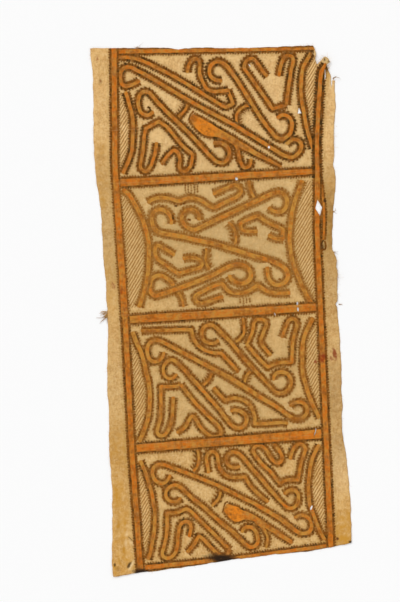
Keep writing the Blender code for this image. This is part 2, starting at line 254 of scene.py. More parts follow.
THIRD_PANEL = (
    Stroke(ARCH, ((102.8, 8), (103.8, 14.2), (104.1, 20.7), (102.8, 25.3), (99.5, 29.2), (95, 31.8))),
    Stroke(ARCH, (
        (72.3, 59.5), (71.5, 64), (69.7, 68.5), (66.4, 72.2), (62.5, 75.5),
    ), right=LONG_TEETH * 0.5, apart=1.2),
    Stroke(ARCH, (
        (111, 60.5), (107.2, 64.2), (105.4, 69), (104.5, 72.5),
    ), left=LONG_TEETH * 0.5, apart=1.2),
    Stroke(CHAIN, (
        (1, 20.7), (21, 20.4), (40.4, 19.8), (51.3, 19.4), (51.3, 19.4), (52.2, 24), (53.6, 28.5),
        (56.7, 33.1), (60.2, 37), (65.1, 40.2), (72.9, 42.6), (81, 43), (81, 43), (88, 50), (93.5, 56),
        (98.5, 62.3),
    )),
    Stroke(CHAIN, (
        (130.7, 45.5), (126.8, 40.4), (123.2, 36.2), (120.8, 31.7), (120.8, 28.5), (122.9, 23.8),
        (124.9, 18.8), (126.3, 13.6), (124.8, 10.3), (121, 9), (116.6, 9.8), (113.9, 12.9), (113.2, 17.5),
        (111.9, 22.7), (109.9, 27.9), (107.3, 34.6), (107.3, 34.6), (114.5, 43.8), (119, 48.6),
        (123.6, 53.2), (127.8, 57), (127.8, 57), (131.4, 55.1), (137.2, 53), (143.7, 52.2), (151.8, 52),
        (151.8, 52), (152.1, 40.2), (152.5, 33.7), (153.6, 27.2), (155.4, 20.7), (157, 14.9), (156.3, 10.5),
        (152.8, 8.7), (149, 10), (146.9, 13.6), (145, 18.8), (143.2, 24), (142.2, 27.5),
    )),
    Stroke(CHAIN, (
        (33.5, 87), (32.9, 95), (32.2, 101.5), (32, 108), (30.3, 115), (27.6, 121.5), (24, 125.2),
        (19.6, 125.2), (17.2, 121.5), (18.6, 115), (20.6, 107), (21, 98), (21, 87), (21, 76.5), (21, 76.5),
        (30, 76.5), (37, 76), (41, 75), (41, 75), (46.9, 82), (53.4, 90.6), (59.9, 97.6), (66.4, 104.2),
        (72.9, 110.2), (78.5, 115.6), (80.8, 121), (80.2, 126), (80.2, 126), (72, 126.6), (72, 126.6),
        (66.4, 122.8), (60.2, 116.6), (55.5, 109), (52.4, 105.8), (49, 109.9), (46.9, 114.4), (43, 118.9),
        (37, 122.6),
    )),
    Stroke(CHAIN, (
        (73.5, 77.5), (79.4, 84), (85, 90.3), (85, 90.3), (90.4, 88.6), (96.3, 87.9), (102.8, 89.8),
        (108, 93.2), (111.6, 97.6), (113.8, 102.8), (114.9, 108), (114.8, 113.8), (114.8, 113.8),
        (124.2, 113.6), (131.4, 113.1), (138, 112.5), (143.7, 112.5), (148, 113.2),
    )),
    Stroke(BAR, (
        (79, 30.4, 0.85), (75.5, 32.4, 0.85), (71, 33.2, 0.9), (66.4, 32, 0.9), (63.2, 29.3, 0.9),
        (61.9, 25, 0.9), (62, 21, 0.9), (64, 17.2, 0.9), (67.7, 15, 0.9), (72.3, 15), (76.2, 17.6),
        (79.6, 21), (83, 24.4), (88.5, 29.8), (95, 37.2), (101.5, 45.4), (109.3, 54.2), (114.5, 59.8),
        (119, 64.4, 0.75), (124.2, 69.8, 0.6), (130.1, 76.3, 0.7), (134.4, 80.9, 0.85), (139, 83.2),
        (144, 82.6), (148.2, 79.4), (150.8, 74.2), (150.8, 69), (147.6, 64), (142, 61.8), (136.8, 63),
        (133.8, 66.2, 0.9), (133.6, 70, 0.8),
    )),
    Stroke(BAR, (
        (36.8, 64, 0.8), (33.3, 67.7, 0.8), (28.8, 68.3, 0.8), (25, 65.9, 0.8), (23.2, 61.5, 0.8),
        (23.5, 57, 0.85), (25.7, 52.8, 0.9), (29.6, 49.8, 0.9), (33.6, 50.1), (38.8, 54), (44.3, 59.5),
        (50.2, 66), (56.7, 73.3), (63.2, 80.7), (69.7, 88.3), (76.2, 95.6), (82, 102.6), (87.2, 110),
        (91.7, 114.8), (96.3, 117.4), (101.5, 117.4), (105.5, 114), (106.8, 109.3), (104.8, 104.2),
        (100.4, 101), (95, 99.8, 0.9), (90.6, 100.8, 0.9),
    )),
    Stroke(BAR, (
        (23.8, 42, 0.85), (22.3, 47.2, 0.85), (18.4, 51, 0.9), (13.4, 51.4), (9, 48), (7.3, 42.8),
        (7.4, 37), (9.9, 32.5), (14.5, 29.9), (19.7, 30.6), (27.5, 34.3), (37.2, 39.5), (46.9, 44.8),
        (56.7, 49.9), (66.4, 55.1), (76.2, 60.3), (82, 63.3, 1.15), (91.7, 68.8, 1.2), (101.5, 75.2, 1.2),
        (111.2, 81.3, 1.2), (121, 87.2, 1.2), (130.7, 93, 1.2), (140.4, 99.3, 1.1), (146.9, 104),
        (152.1, 107.4), (157.3, 108.8), (163, 107.3), (166.4, 103.4), (167.1, 98.2), (164.5, 93.8),
        (159.9, 91.7), (154.3, 92.8, 0.9), (150.2, 96, 0.8),
    )),
    Stroke(WIDE_ARC, (
        (-7.6, 22), (-5, 28.5), (-2.4, 35), (0.8, 41.5), (2.9, 48), (4.6, 54.5), (6.1, 62), (8, 69),
        (9.2, 76), (9.7, 83), (9.8, 92), (9.3, 101), (7.6, 110), (4.9, 118), (1.5, 126), (-0.5, 131),
    )),
    Stroke(WIDE_ARC, (
        (173, 7.7), (169.7, 14.2), (166.4, 20.7), (164.1, 27.2), (162.8, 33.7), (162.4, 41), (162.3, 50),
        (162.3, 59), (163.6, 66.5), (165.6, 74), (167.7, 81.3), (170.3, 88.5), (173, 95), (176.2, 101.5),
        (179.5, 108),
    )),
)

FOURTH_PANEL = (
    Stroke(ARCH, (
        (47.5, 9), (48.5, 14.3), (48.6, 19), (48.1, 24), (46.4, 28), (43.5, 31),
    ), right=LONG_TEETH * 0.6, apart=1.9),
    Stroke(ARCH, (
        (70.5, 48.5), (70.3, 53), (69, 57.5), (66, 61.7), (62, 65.7),
    ), right=LONG_TEETH * 0.6, apart=1.9),
    Stroke(FIELD, (
        (75.4, 66.4, 1.4), (80, 70, 2.1), (85, 73.4, 2.7), (88, 74.8, 2.6), (91.5, 75, 2),
        (95.5, 75.2, 1.5), (103, 77.4, 1.1), (110.5, 82, 1), (120, 88, 0.95), (130, 94.6, 0.9),
        (138.5, 100, 0.8), (142.5, 102.8, 0.55),
    )),
    Stroke(LINE, ((78.6, 61.6), (75.6, 62.8), (74.2, 66.4), (73.2, 71))),
    Stroke(CHAIN, (
        (106, 82, 0.9), (111.8, 86.6, 0.8), (115, 91, 0.75), (117, 95.8, 0.7), (117.4, 101, 0.7),
        (116.4, 107.5, 0.7),
    ), opens=1),
    Stroke(CHAIN, (
        (58.5, 32.8), (57.9, 28), (56.9, 22.8), (56.7, 17.8), (58, 13.7), (60.8, 11.5), (64.4, 11.8),
        (67, 15), (67.9, 20.2), (69, 25.6), (71.5, 30.4), (74.8, 34.2), (79, 36.6), (85, 37.5), (95, 36.6),
        (95, 36.6), (97.5, 41.3), (101, 46.4), (105.6, 51.2), (110.8, 55.8), (118, 62),
    )),
    Stroke(CHAIN, (
        (124, 2.5), (126, 6), (129, 10.2), (131.6, 15), (132, 19.2), (129.7, 22.2), (126, 22.6),
        (122.8, 20), (119.6, 15), (116, 9.8), (112.4, 6.5), (108.5, 5.2), (105, 6.3), (103.2, 9.7),
        (104.2, 13.6), (107.9, 18.8), (111.8, 23.6), (116.2, 27.4), (119.8, 30.6), (123.5, 35.2),
        (126.7, 39.4), (130, 43.4), (130, 43.4), (134.5, 40.9), (139.7, 39.6), (148, 39.8), (148, 39.8),
        (149.3, 33.1), (150.1, 27.2), (151.6, 20.7), (153.7, 14.9), (155.4, 9.7), (154.2, 5.6),
        (150.7, 3.7), (147, 4.7), (143.8, 8.4), (141.7, 12.9), (140.2, 19.2),
    )),
    Stroke(CHAIN, (
        (39.2, 96.5), (40.4, 91.8), (41, 87.2), (40, 83.3), (37, 81.4), (33.2, 82), (30.1, 85.3),
        (28.7, 90.5), (28, 96.3), (27.7, 102.2), (26.7, 108), (24.6, 113.6), (20.9, 117.2), (16.3, 118),
        (12.8, 115.6), (12.5, 111.5), (13.9, 106.7), (15.3, 100.9), (16.5, 94.4), (17, 87.2), (17, 73),
        (17, 73), (23.5, 72.8), (29, 71.8), (33.4, 69.8), (36.6, 69), (39.9, 70.5), (44.9, 75),
        (49.4, 79.4), (55.9, 85.5), (62.4, 92), (68.9, 98.9), (74.8, 104.8), (79.3, 109.3), (79.3, 109.3),
        (77, 114.8), (72, 116), (67, 113), (62.4, 108.4), (57.2, 103.3), (52.6, 98.6), (49, 96.2),
        (46.6, 99.8), (43.6, 104.8), (40.2, 109), (36.8, 112),
    )),
    Stroke(BAR, (
        (90, 26.3, 0.85), (85.5, 27.2, 0.85), (80.8, 26.4, 0.9), (77.4, 23.5, 0.9), (76.3, 19, 0.9),
        (78, 14.5, 0.9), (82, 12.1), (87, 12.6), (92, 16.2), (97.5, 22.6), (104, 30.4), (110.5, 38.2),
        (117, 45.9), (123.5, 53), (130, 60.5, 0.8), (135.1, 65.8, 0.8), (139.8, 68), (144, 67.2), (147, 64),
        (148.4, 59), (148, 53.8), (145.5, 50.7), (141.6, 49.9), (137.7, 51), (134, 54, 0.85),
    )),
    Stroke(BAR, (
        (30.7, 57.5, 0.85), (28.6, 60.4, 0.85), (24.4, 61.7, 0.9), (19.6, 60.4, 0.9), (16.5, 57, 0.9),
        (16.2, 52, 0.9), (18.4, 48, 0.9), (22.4, 45.3, 0.9), (27.4, 45.2), (31.9, 48), (36.4, 52.4),
        (42.9, 58.5), (49.4, 63.4), (55.9, 68.6), (62.4, 74.6), (68.9, 80.7), (75.4, 85.8), (84.5, 93, 1.1),
        (91, 99.4, 1.1), (95.5, 104.3), (100.7, 107), (105.3, 105.6), (107.9, 101.4), (107.3, 95.6),
        (105.3, 90.6), (101.8, 87.2), (97.5, 86.6), (93.6, 88.6, 0.9), (92, 92, 0.85),
    )),
    Stroke(BAR, (
        (20.2, 35, 0.85), (18.3, 39, 0.85), (15.5, 42.2, 0.9), (11.1, 43.4), (6.8, 41.5), (3.5, 37.1),
        (2.5, 31.9), (3.8, 27.4), (7.4, 24.7), (12.4, 24.3), (18.3, 26), (24.8, 28.4), (33.2, 31.7),
        (42.9, 35.1), (49.4, 37.6), (55.9, 40.2), (62.4, 42.9), (68.9, 46), (78, 50.2), (84.5, 53.6),
        (91, 57, 0.9), (97.5, 60, 0.9), (105.3, 63.8), (113.7, 68.9, 1.1), (123.5, 74.5, 1.15),
        (133.2, 80.8, 1.2), (139.7, 85.8, 1.15), (146.2, 90.7), (151.4, 93.1), (156.6, 92.9), (160.4, 90.2),
        (161.7, 85.6), (160.4, 80.6), (157.2, 76.8), (152.7, 75), (148.1, 75.6, 0.9), (144.4, 77.8, 0.85),
    )),
    Stroke(SIDE_ARC, (
        (-9.7, 20.8), (-7.1, 26), (-4.5, 31.9), (-2.5, 38.4), (-0.6, 44.9), (1.4, 51.4), (2.8, 58),
        (3.9, 65), (4.7, 72), (4.9, 80), (4.4, 88), (3.6, 95), (2.7, 101), (1.4, 107.4), (0, 113.2),
        (-2, 119.5),
    )),
    Stroke(SIDE_ARC, (
        (168.9, 4.5), (165.7, 11), (162.4, 18.8), (160.5, 26), (159.3, 33.7), (158.6, 41), (158.5, 49),
        (158.8, 57), (160, 64.5), (162.3, 71.5), (164.7, 78), (167.2, 84.5), (169.2, 89.7), (172.1, 95),
        (174.7, 99.5),
    )),
)

FRAME_LINES = (
    Stroke(TOP_BAND, ((22, 1.7), (80, 0.9), (140, -0.1), (200, -0.8, 0.8), (224, -1.5, 0.6))),
    Stroke(BAND, ((29, 132.8), (80, 130, 1.08), (130, 127.5), (180, 124.5, 0.85), (229, 121, 0.7))),
    Stroke(BAND, ((37, 269.6), (90, 266, 1.08), (140, 262), (190, 259, 1), (230, 256.7))),
    Stroke(BAND, ((43, 398.4), (100, 394, 1), (160, 389.3), (210, 385.3, 1.15), (238, 383, 1.2))),
    Stroke(TOP_BAND, ((55, 517.3), (90, 514, 0.8), (121, 511, 0.8), (170, 504.7, 0.8), (240, 495.4, 0.8))),
    Stroke(BORDER, ((24, -5), (24, 10), (24.8, 110), (25.8, 133))),
    Stroke(BROAD_BORDER, ((25.8, 130, 0.8), (28.4, 180), (32.6, 235), (35.2, 272, 0.9)), ink=0.85),
    Stroke(BORDER, ((35, 267), (36.5, 310), (41.8, 400), (45.5, 450), (49.5, 505), (51, 526))),
    Stroke(SPLIT_BORDER, (
        (229.5, 128, 1.6), (231.6, 142, 1.3), (233.4, 152), (234.1, 165), (234, 178), (233.5, 190, 0.8),
    )),
    Stroke(BORDER, (
        (227.5, 126), (227, 150, 0.9), (227, 180, 0.9), (228.2, 205), (231.5, 270), (233.5, 320),
        (237, 383), (239, 450), (241, 500),
    )),
    Stroke(STRONG_BORDER, (
        (235.2, 14, 0.6), (233.6, 17, 0.85), (231.6, 21), (230.2, 30), (228.5, 62), (227, 90),
        (227.3, 128, 1.1),
    ), ink=1.3),
)

# Two combs of fine upright lines: how far right each is, its top and its foot
FINE_LINES = (
    (95.3, 134, 143.5),
    (98.2, 134, 143.5),
    (101.2, 133.5, 143.5),
    (104.2, 133.5, 143),
    (107.2, 133.5, 143),
    (150, 247.5, 254),
    (153.2, 247.5, 254),
    (156.4, 247.2, 253.6),
    (159.6, 247, 253.4),
)

# Lines beside the torn edge, blots, a crack and the fine lines
MARKS = (
    Stroke(LINE, ((235.6, 18), (235.4, 23), (235.6, 29))),
    Stroke(LINE, (
        (234, 190), (232, 192.5), (231.8, 196.5), (233, 199.5), (235, 199), (235.5, 195), (234.4, 190.6),
    )),
    Stroke(DOT, ((84, 155.6), (87.4, 156))),
    Stroke(DOT, ((92.6, 153.7), (96, 153.3))),
    Stroke(DOT, ((82.8, 164), (83.2, 170.2))),
    Stroke(DOT, ((97.4, 169.2), (101, 170))),
    Stroke(DOT, ((187.9, 228.8), (191.1, 230)), ink=0.6),
    Stroke(DOT, ((57.2, 56.4), (60.8, 58.4))),
    Stroke(CRACK, ((38, 486.4), (41.4, 489.4), (46.4, 495)), ink=1.0),
    *(Stroke(THIN, ((x, top), (round(x + 0.3, 1), foot)), ink=0.7) for x, top, foot in FINE_LINES),
)

# Each panel's chart and strokes, how red its ochre is, how dark its lines and how wide against
# others of their kind
Panel = namedtuple("Panel", "chart strokes red ink wide", defaults=(1,))
PAINTING = (
    Panel(FIRST, FIRST_PANEL, red=0.45, ink=0.92, wide=0.96),
    Panel(SECOND, SECOND_PANEL, red=0.2, ink=0.5),
    Panel(THIRD, THIRD_PANEL, red=0.2, ink=0.72, wide=0.86),
    Panel(FOURTH, FOURTH_PANEL, red=0.35, ink=0.76, wide=0.86),
    Panel(WHOLE, FRAME_LINES, red=0.68, ink=0.86),
    Panel(WHOLE, MARKS, red=0.3, ink=1.0),
)

# How far apart the teeth stand, in millimetres, how much further for each millimetre of their length,
# and how strongly the lines have bled into the bark
TOOTH_PITCH = 6.6
TOOTH_SPREAD = 0.15
BLEED = 0.22

# The side arcs' outer sides are hatched: fine lines that rise to the right
HATCH_PITCH = 6.8
HATCH_WIDTH = 0.42
HATCH_RISE = radians(57)

# The strokes' lines, in millimetres and degrees: the step between their points, the turn that counts
# as straight, the turn at which a run ends, how far runs lap over each other and count past a
# stroke's end, how far along the next stroke starts, and how far past the teeth the paint may bleed
LINE_STEP = 2.5
STRAIGHT = radians(2.0)
RUN_TURN = radians(150)
LAP = 2.0
PAST_END = 4.0
ORDER_SHIFT = 37.0
BLEED_REACH = 8.0

# How many strokes may show in one face of the mesh, and the place of those that aren't there
SLOTS = 4
FAR_OFF = 1000.0
NO_OCHRE = -3.0

# Stains on the whole cloth's chart: middle, width and length in squares, lean in degrees, and how
# much there is of red, dark and tan stain and of dull, pale and brown wash
Stain = namedtuple("Stain", "right down wide long lean red dark tan dull pale brown", defaults=(0,) * 7)
STAINS = (
    Stain(232.3, 308, 6.4, 9, red=0.8, dark=0.15),
    Stain(244.6, 304, 3.2, 11, lean=12, red=0.85),
    Stain(243.4, 308.4, 2, 5, lean=-40, red=0.6),
    Stain(241, 308, 3, 3, red=0.6),
    Stain(225.6, 311.5, 3, 3, red=0.7),
    Stain(249.5, 306, 3, 3, red=0.5),
    Stain(23, 235.5, 5, 6, red=0.6),
    Stain(34, 250, 9, 66, lean=4, red=0.3),
    Stain(7, 8.5, 3, 6, red=0.6),
    Stain(10.4, 31.5, 2.4, 4.6, red=0.35, brown=0.7),
    Stain(24.8, 514.3, 2.4, 3.8, dark=0.85),
    Stain(27.6, 518.6, 3, 3, brown=0.6, dark=0.35),
    Stain(39.4, 514.6, 2.8, 7, lean=-32, dark=0.9),
    Stain(41.9, 514.2, 2, 10, lean=-30, pale=1.0),
    Stain(41.5, 492.2, 1.9, 6, lean=45, pale=0.7),
    Stain(35.8, 493, 1.9, 5, pale=0.8),
    Stain(36.8, 483.5, 1.9, 4.5, pale=0.8),
    Stain(28.2, 476.5, 3.6, 18, lean=-6, tan=1.0, brown=0.15),
    Stain(33.6, 500, 3, 12, tan=0.9, brown=0.15),
    Stain(32, 512, 3, 10, lean=50, tan=1.0, brown=0.2),
    Stain(247.6, 488.4, 2.8, 4, lean=15, red=0.7, dark=0.75),
    Stain(260.3, 491.8, 4, 4, dark=0.9),
    Stain(51, 521.7, 14, 6, dark=1.0),
    Stain(134, 509.2, 30, 10, lean=-8, dark=1.0),
    Stain(22, 222, 4, 60, lean=-4, dark=0.3),
    Stain(232.5, 196, 5, 8, dark=0.65),
    Stain(234.7, 150.5, 4, 4, dark=0.8),
    Stain(217, -1, 16, 7, dark=0.5),
    Stain(221.5, 3.5, 5, 14, dark=0.62),
    Stain(225.3, 5, 2.4, 11, pale=0.8),
    Stain(236.8, 9.5, 9, 8, dull=0.9),
    Stain(234.2, 9.6, 2.2, 4, dark=0.85),
    Stain(238.6, 11.8, 2.2, 2.2, dark=0.8),
    Stain(237.2, 19.5, 3, 7, dark=0.6),
    Stain(237.8, 27, 5, 12, tan=0.8),
    Stain(241, 33.5, 3, 11, pale=0.9),
    Stain(240.5, 175, 5, 42, tan=0.8),
    Stain(11, 102, 12, 22, tan=0.5),
    Stain(12.4, 97.6, 7, 5, red=0.16, tan=1.0, brown=0.22),
    Stain(9.2, 107, 3, 8, red=0.16, tan=1.0, brown=0.24),
    Stain(13.2, 106, 3, 10, red=0.16, tan=1.0, brown=0.24),
    Stain(12.8, 148, 4, 16, lean=6, tan=0.9),
    Stain(12, 128, 14, 34, tan=0.5, brown=0.2),
    Stain(14, 190, 16, 70, brown=0.18),
    Stain(13, 130, 5, 30, lean=8, tan=0.8),
    Stain(29, 398, 22, 44, tan=0.55, brown=0.15),
    Stain(240, 172, 16, 66, tan=0.4, brown=0.55),
    Stain(243, 228, 18, 66, brown=0.24),
    Stain(249, 247, 14, 26, brown=0.36),
    Stain(10, 45, 18, 110, pale=0.12, tan=0.12),
    Stain(22, 318, 24, 120, lean=4, dull=0.4),
    Stain(246, 346, 16, 60, brown=0.38),
    Stain(249, 392, 16, 30, brown=0.42),
    Stain(248, 420, 16, 30, pale=0.3),
    Stain(18, 240, 16, 50, tan=0.4),
    Stain(27, 470, 22, 90, tan=0.45),
    Stain(28, 448, 12, 30, tan=0.75),
    Stain(33, 478, 10, 36, tan=0.8),
    Stain(29, 512, 24, 22, tan=0.75),
    Stain(256, 480, 22, 40, tan=0.7),
    Stain(250, 492, 26, 14, tan=0.95),
    Stain(240, 160, 14, 60, tan=0.35),
    Stain(128, 194, 190, 130, lean=3, dull=0.8),
    Stain(140, 325, 180, 110, lean=3, dull=0.7),
    Stain(150, 450, 180, 110, lean=3, dull=0.3),
    Stain(120, 60, 200, 110, lean=3, pale=0.35),
)

# A stain is full in its middle, fades, and is gone at twice its own size
STAIN_MIDDLE = 1.4
STAIN_FADE = 0.7

# Where the edge is most frayed, in millimetres
Patch = namedtuple("Patch", "across up reach")
FRAYED = (
    Patch(628, 1350, 80),
    Patch(4, 695, 50),
    Patch(640, 760, 60),
    Patch(590, 950, 40),
    Patch(646, 1130, 60),
)

# The tufts of longer strands, on the whole cloth's chart: place, how wide the tuft is in millimetres,
# its heading in degrees from across, the number, length and radius of its strands, how loose it is,
# its curl and lift, and how brown it is
Tuft = namedtuple(
    "Tuft", "right down spread heading count length radius loose curl lift brown", defaults=(0,)
)
TUFTS = (
    Tuft(20.5, 264, 10, 182, 20, 24, 1.2, 0.12, 0.1, 1.0, brown=0.15),
    Tuft(20, 262.4, 5, 178, 6, 29, 1.1, 0.1, 0.1, 1.0, brown=0.7),
    Tuft(20, 264.6, 4, 204, 6, 36, 1.1, 0.06, 0.2, 1.0, brown=1.0),
    Tuft(20, 265.6, 4, 218, 4, 24, 0.9, 0.12, 0.2, 1.0, brown=0.4),
    Tuft(19, 261.6, 4, 160, 4, 14, 0.9, 0.2, 0.2, 1.0, brown=0.5),
    Tuft(243.2, 29.3, 3, 75, 5, 24, 0.8, 0.1, -1.9, 4.0, brown=0.9),
    Tuft(236, 18, 14, 60, 16, 13, 0.4, 0.5, 0.3, 3.0),
    Tuft(230, 32, 8, 250, 6, 10, 0.3, 0.4, 0.0, 1.0),
    Tuft(242, 202, 4, -4, 4, 15, 0.7, 0.12, 0.2, 0.8, brown=0.9),
    Tuft(243, 162, 4, 5, 3, 13, 0.6, 0.15, -0.3, 0.8, brown=0.9),
    Tuft(248.5, 254, 4, 0, 3, 11, 0.7, 0.15, 0.1, 0.8, brown=1.0),
    Tuft(58, 517, 4, -80, 3, 24, 0.35, 0.1, 0.3, 0.8),
    Tuft(45, -2, 4, 95, 3, 7, 0.35, 0.3, 0.0, 0.8),
    Tuft(46, -2.6, 2, 0, 3, 26, 0.5, 0.06, 0.0, 0.8, brown=1.0),
)

# The fuzz round every edge, in millimetres and shares: how deep it roots, how many of the rim's points
# have a strand, its length and how both grow where the edge is frayed, how loose and curled it is
FUZZ_ROOT = 1.2
FUZZ_SHARE = 0.22
FRAYED_SHARE = 0.6
FUZZ_LENGTH = 1.5
FUZZ_LEAST = 1.6
FRAYED_LENGTH = 1.4
FUZZ_LOOSE = 0.75
FUZZ_CURL = 0.9
FUZZ_LIFT = 0.3
FUZZ_RADIUS = (0.1, 0.24)

# The strands of a tuft: how their lengths and radii vary in shares of its own, how their curls do,
# and how high they root, in millimetres and for each millimetre of its lift
TUFT_LENGTHS = (0.45, 1.1)
TUFT_RADII = (0.7, 1.2)
TUFT_CURL = 0.5
TUFT_ROOT = 0.7
TUFT_ROOT_LIFT = 0.3

# Every fibre thins to its tip, is a little flat, wavers, and sinks until it nearly lies on the floor
FIBRE_THINS = 0.7
FIBRE_FLAT = 0.7
FIBRE_WAVER = 0.16
FIBRE_SINKS = 0.05
FIBRE_LOWEST = 0.15

# Thin slits, cut by hand and by wear: place, width, length and lean, in millimetres and degrees
Slit = namedtuple("Slit", "across up width length lean")
SLITS = (
    Slit(619.9, 1305.8, 3.2, 28.0, -2.5),
    Slit(421.3, 1337.8, 2.2, 10.0, 35.0),
    Slit(552.6, 359.7, 2.2, 22.0, -15.0),
    Slit(459.5, 676.8, 2.4, 8.0, 20.0),
)

# Creases across the whole cloth, as the solid has them: places at the left and the right, how far
# up they bow between, their rise at either side and half their width, in millimetres
Fold = namedtuple("Fold", "left right bow rise_left rise_right reach")
FOLDS = (
    Fold(1179, 1188, 4, 1.5, 0.9, 17),
    Fold(1041, 1052, -3, 1.8, 1.5, 20),
    Fold(915, 922, 5, 1.6, 0.8, 16),
    Fold(693, 699, -4, 1.7, 2.2, 22),
    Fold(427, 438, 3, 1.6, 0.6, 17),
    Fold(350, 355, -5, 0.7, 1.9, 20),
    Fold(142, 150, 4, 0.6, 1.2, 17),
)

# How much a crease's height swings along it, and over what length in millimetres
RIDGE_SWING = 0.35
RIDGE_WAVE = 210.0

# Places that stand a little off the surface: a round swell that fades out at its reach
Lift = namedtuple("Lift", "across up rise reach")
LIFTS = (
    Lift(628, 1350, 6.0, 62),
    Lift(600, 1392, 2.2, 70),
    Lift(0, 1405, 2.0, 90),
    Lift(0, 0, 2.4, 110),
    Lift(640, 55, 1.8, 90),
    Lift(0, 690, 2.0, 60),
    Lift(640, 800, 2.6, 90),
    Lift(646, 700, 2.2, 50),
    Lift(598, 930, 1.6, 34),
    Lift(646, 1130, 1.6, 80),
    Lift(0, 1130, 1.5, 90),
    Lift(0, 300, 1.4, 80),
    Lift(646, 380, 1.5, 60),
)

# Short wrinkles: from one end to the other, with their rise and half their width
Wrinkle = namedtuple("Wrinkle", "across up to_across to_up rise reach")
WRINKLES = (
    Wrinkle(612, 770, 640, 735, 0.8, 5),
    Wrinkle(618, 790, 642, 765, 0.7, 5),
    Wrinkle(606, 750, 630, 722, 0.6, 4),
    Wrinkle(20, 462, 52, 452, 0.6, 4),
    Wrinkle(30, 455, 60, 448, 0.5, 4),
    Wrinkle(40, 110, 68, 82, 0.8, 5),
    Wrinkle(30, 60, 75, 20, 0.7, 6),
    Wrinkle(4, 1180, 60, 1178, 0.5, 3),
    Wrinkle(6, 1042, 64, 1040, 0.5, 3),
    Wrinkle(600, 440, 640, 437, 0.6, 4),
    Wrinkle(120, 700, 300, 690, 0.5, 7),
    Wrinkle(330, 688, 520, 700, 0.5, 7),
    Wrinkle(560, 905, 625, 900, 0.6, 6),
    Wrinkle(598, 1000, 606, 900, 0.7, 5),
    Wrinkle(606, 1330, 625, 1365, 0.8, 6),
)

# Soft waves all over, each with its size and its rise, the level that they swing about in shares of
# the rise, and the depth of the fibres' relief
WAVES = ((170.0, 0.16), (61.0, 0.1), (23.0, 0.05))
WAVE_LEVEL = 0.6
RELIEF = 0.12

# The floor, in metres, and how pale it is
FLOOR_HALF = 12.0
FLOOR_GAP = 0.0004
FLOOR_WHITE = 0.975

# The light from all round, and the lamps with where they stand and how wide they look, in degrees
WORLD_LIGHT = 0.62
Lamp = namedtuple("Lamp", "name azimuth elevation spread strength")
LAMPS = (
    Lamp("key", 130, 38, 35, 1.35),
    Lamp("fill", -40, 50, 60, 0.45),
)

# The camera's sensor and lens in millimetres, and the height and the middle of its view in metres
SENSOR = 36.0
LENS = 85.0
VIEW_HEIGHT = 1.5953
VIEW_MIDDLE = (-0.0597, 0.0193)


def on_cloth(chart, right, down):
    """The place on the cloth, in millimetres, of a point on a chart."""
    across = right * cos(CHART_TURN) - down * sin(CHART_TURN)
    up = -right * sin(CHART_TURN) - down * cos(CHART_TURN)
    return chart.across + chart.square * across, chart.up + chart.square * up


def lengths(steps):
    """The length of each row of steps, which are across and up."""
    return np.hypot(steps[..., 0], steps[..., 1])


# Lines


def line_through(points):
    """Points close together along these, smooth but for a corner at each point that comes twice."""
    corners = [i for i in range(1, len(points)) if lengths(points[i] - points[i - 1]) < 0.01]
    parts = [points[a:b] for a, b in pairwise([0, *corners, len(points)])]
    lines = [smooth_line(part) for part in parts]
    return np.concatenate([*(line[:-1] for line in lines[:-1]), lines[-1]])


def smooth_line(points):
    """Points close together along a smooth curve through these, with their further columns."""
    rows = [2 * points[0] - points[1], *points, 2 * points[-1] - points[-2]]
    line = []
    for before, start, end, after in zip(rows, rows[1:], rows[2:], rows[3:]):
        gap_in, gap, gap_out = (
            max(lengths(b - a), 0.01) ** 0.5 for a, b in pairwise((before, start, end, after))
        )
        slope_in = (start - before) / gap_in - (end - before) / (gap_in + gap) + (end - start) / gap
        slope_out = (end - start) / gap - (after - start) / (gap + gap_out) + (after - end) / gap_out
        steps = ceil(lengths(end - start) / LINE_STEP)
        for t in np.arange(steps) / steps:
            line.append(
                start * (2 * t**3 - 3 * t**2 + 1)
                + end * (3 * t**2 - 2 * t**3)
                + slope_in * gap * (t**3 - 2 * t**2 + t)
                + slope_out * gap * (t**3 - t**2)
            )
    line.append(points[-1])
    return np.array(line)


def turnings(line):
    """How far a line turns at each of its inner points."""
    steps = np.diff(line[:, :2], axis=0)
    headings = np.arctan2(steps[:, 1], steps[:, 0])
    return (np.diff(headings) + pi) % tau - pi


def where_turned(line, limit):
    """The first and last points of a line, and those between at which it has turned by the limit."""
    found = [0]
    turned = 0.0
    for i, turn in enumerate(turnings(line), start=1):
        turned += turn
        if abs(turned) > limit:
            found.append(i)
            turned = 0.0
    return [*found, len(line) - 1]


# A run: its stroke and panel, the points of its line, how far along the stroke each of them is, and
# whether the run holds the stroke's first and last points
Run = namedtuple("Run", "stroke panel line along first last")


def runs_of(order, stroke, panel):
    """A stroke cut into runs that each turn by no more than one good bend."""
    points = np.array([
        (*on_cloth(panel.chart, *point[:2]), point[2] if len(point) > 2 else 1.0)
        for point in stroke.points
    ])
    line = line_through(points)
    line = line[where_turned(line, STRAIGHT)]
    along = np.concatenate([[0.0], np.cumsum(lengths(np.diff(line[:, :2], axis=0)))])
    along += ORDER_SHIFT * order
    cuts = where_turned(line, RUN_TURN)
    return [
        Run(stroke, panel, line[a : b + 1], along[a : b + 1], a == 0, b == len(line) - 1)
        for a, b in pairwise(cuts)
    ]


def all_runs():
    """The runs of every stroke, in the order of painting."""
    strokes = [(stroke, panel) for panel in PAINTING for stroke in panel.strokes]
    return [run for order, each in enumerate(strokes) for run in runs_of(order, *each)]


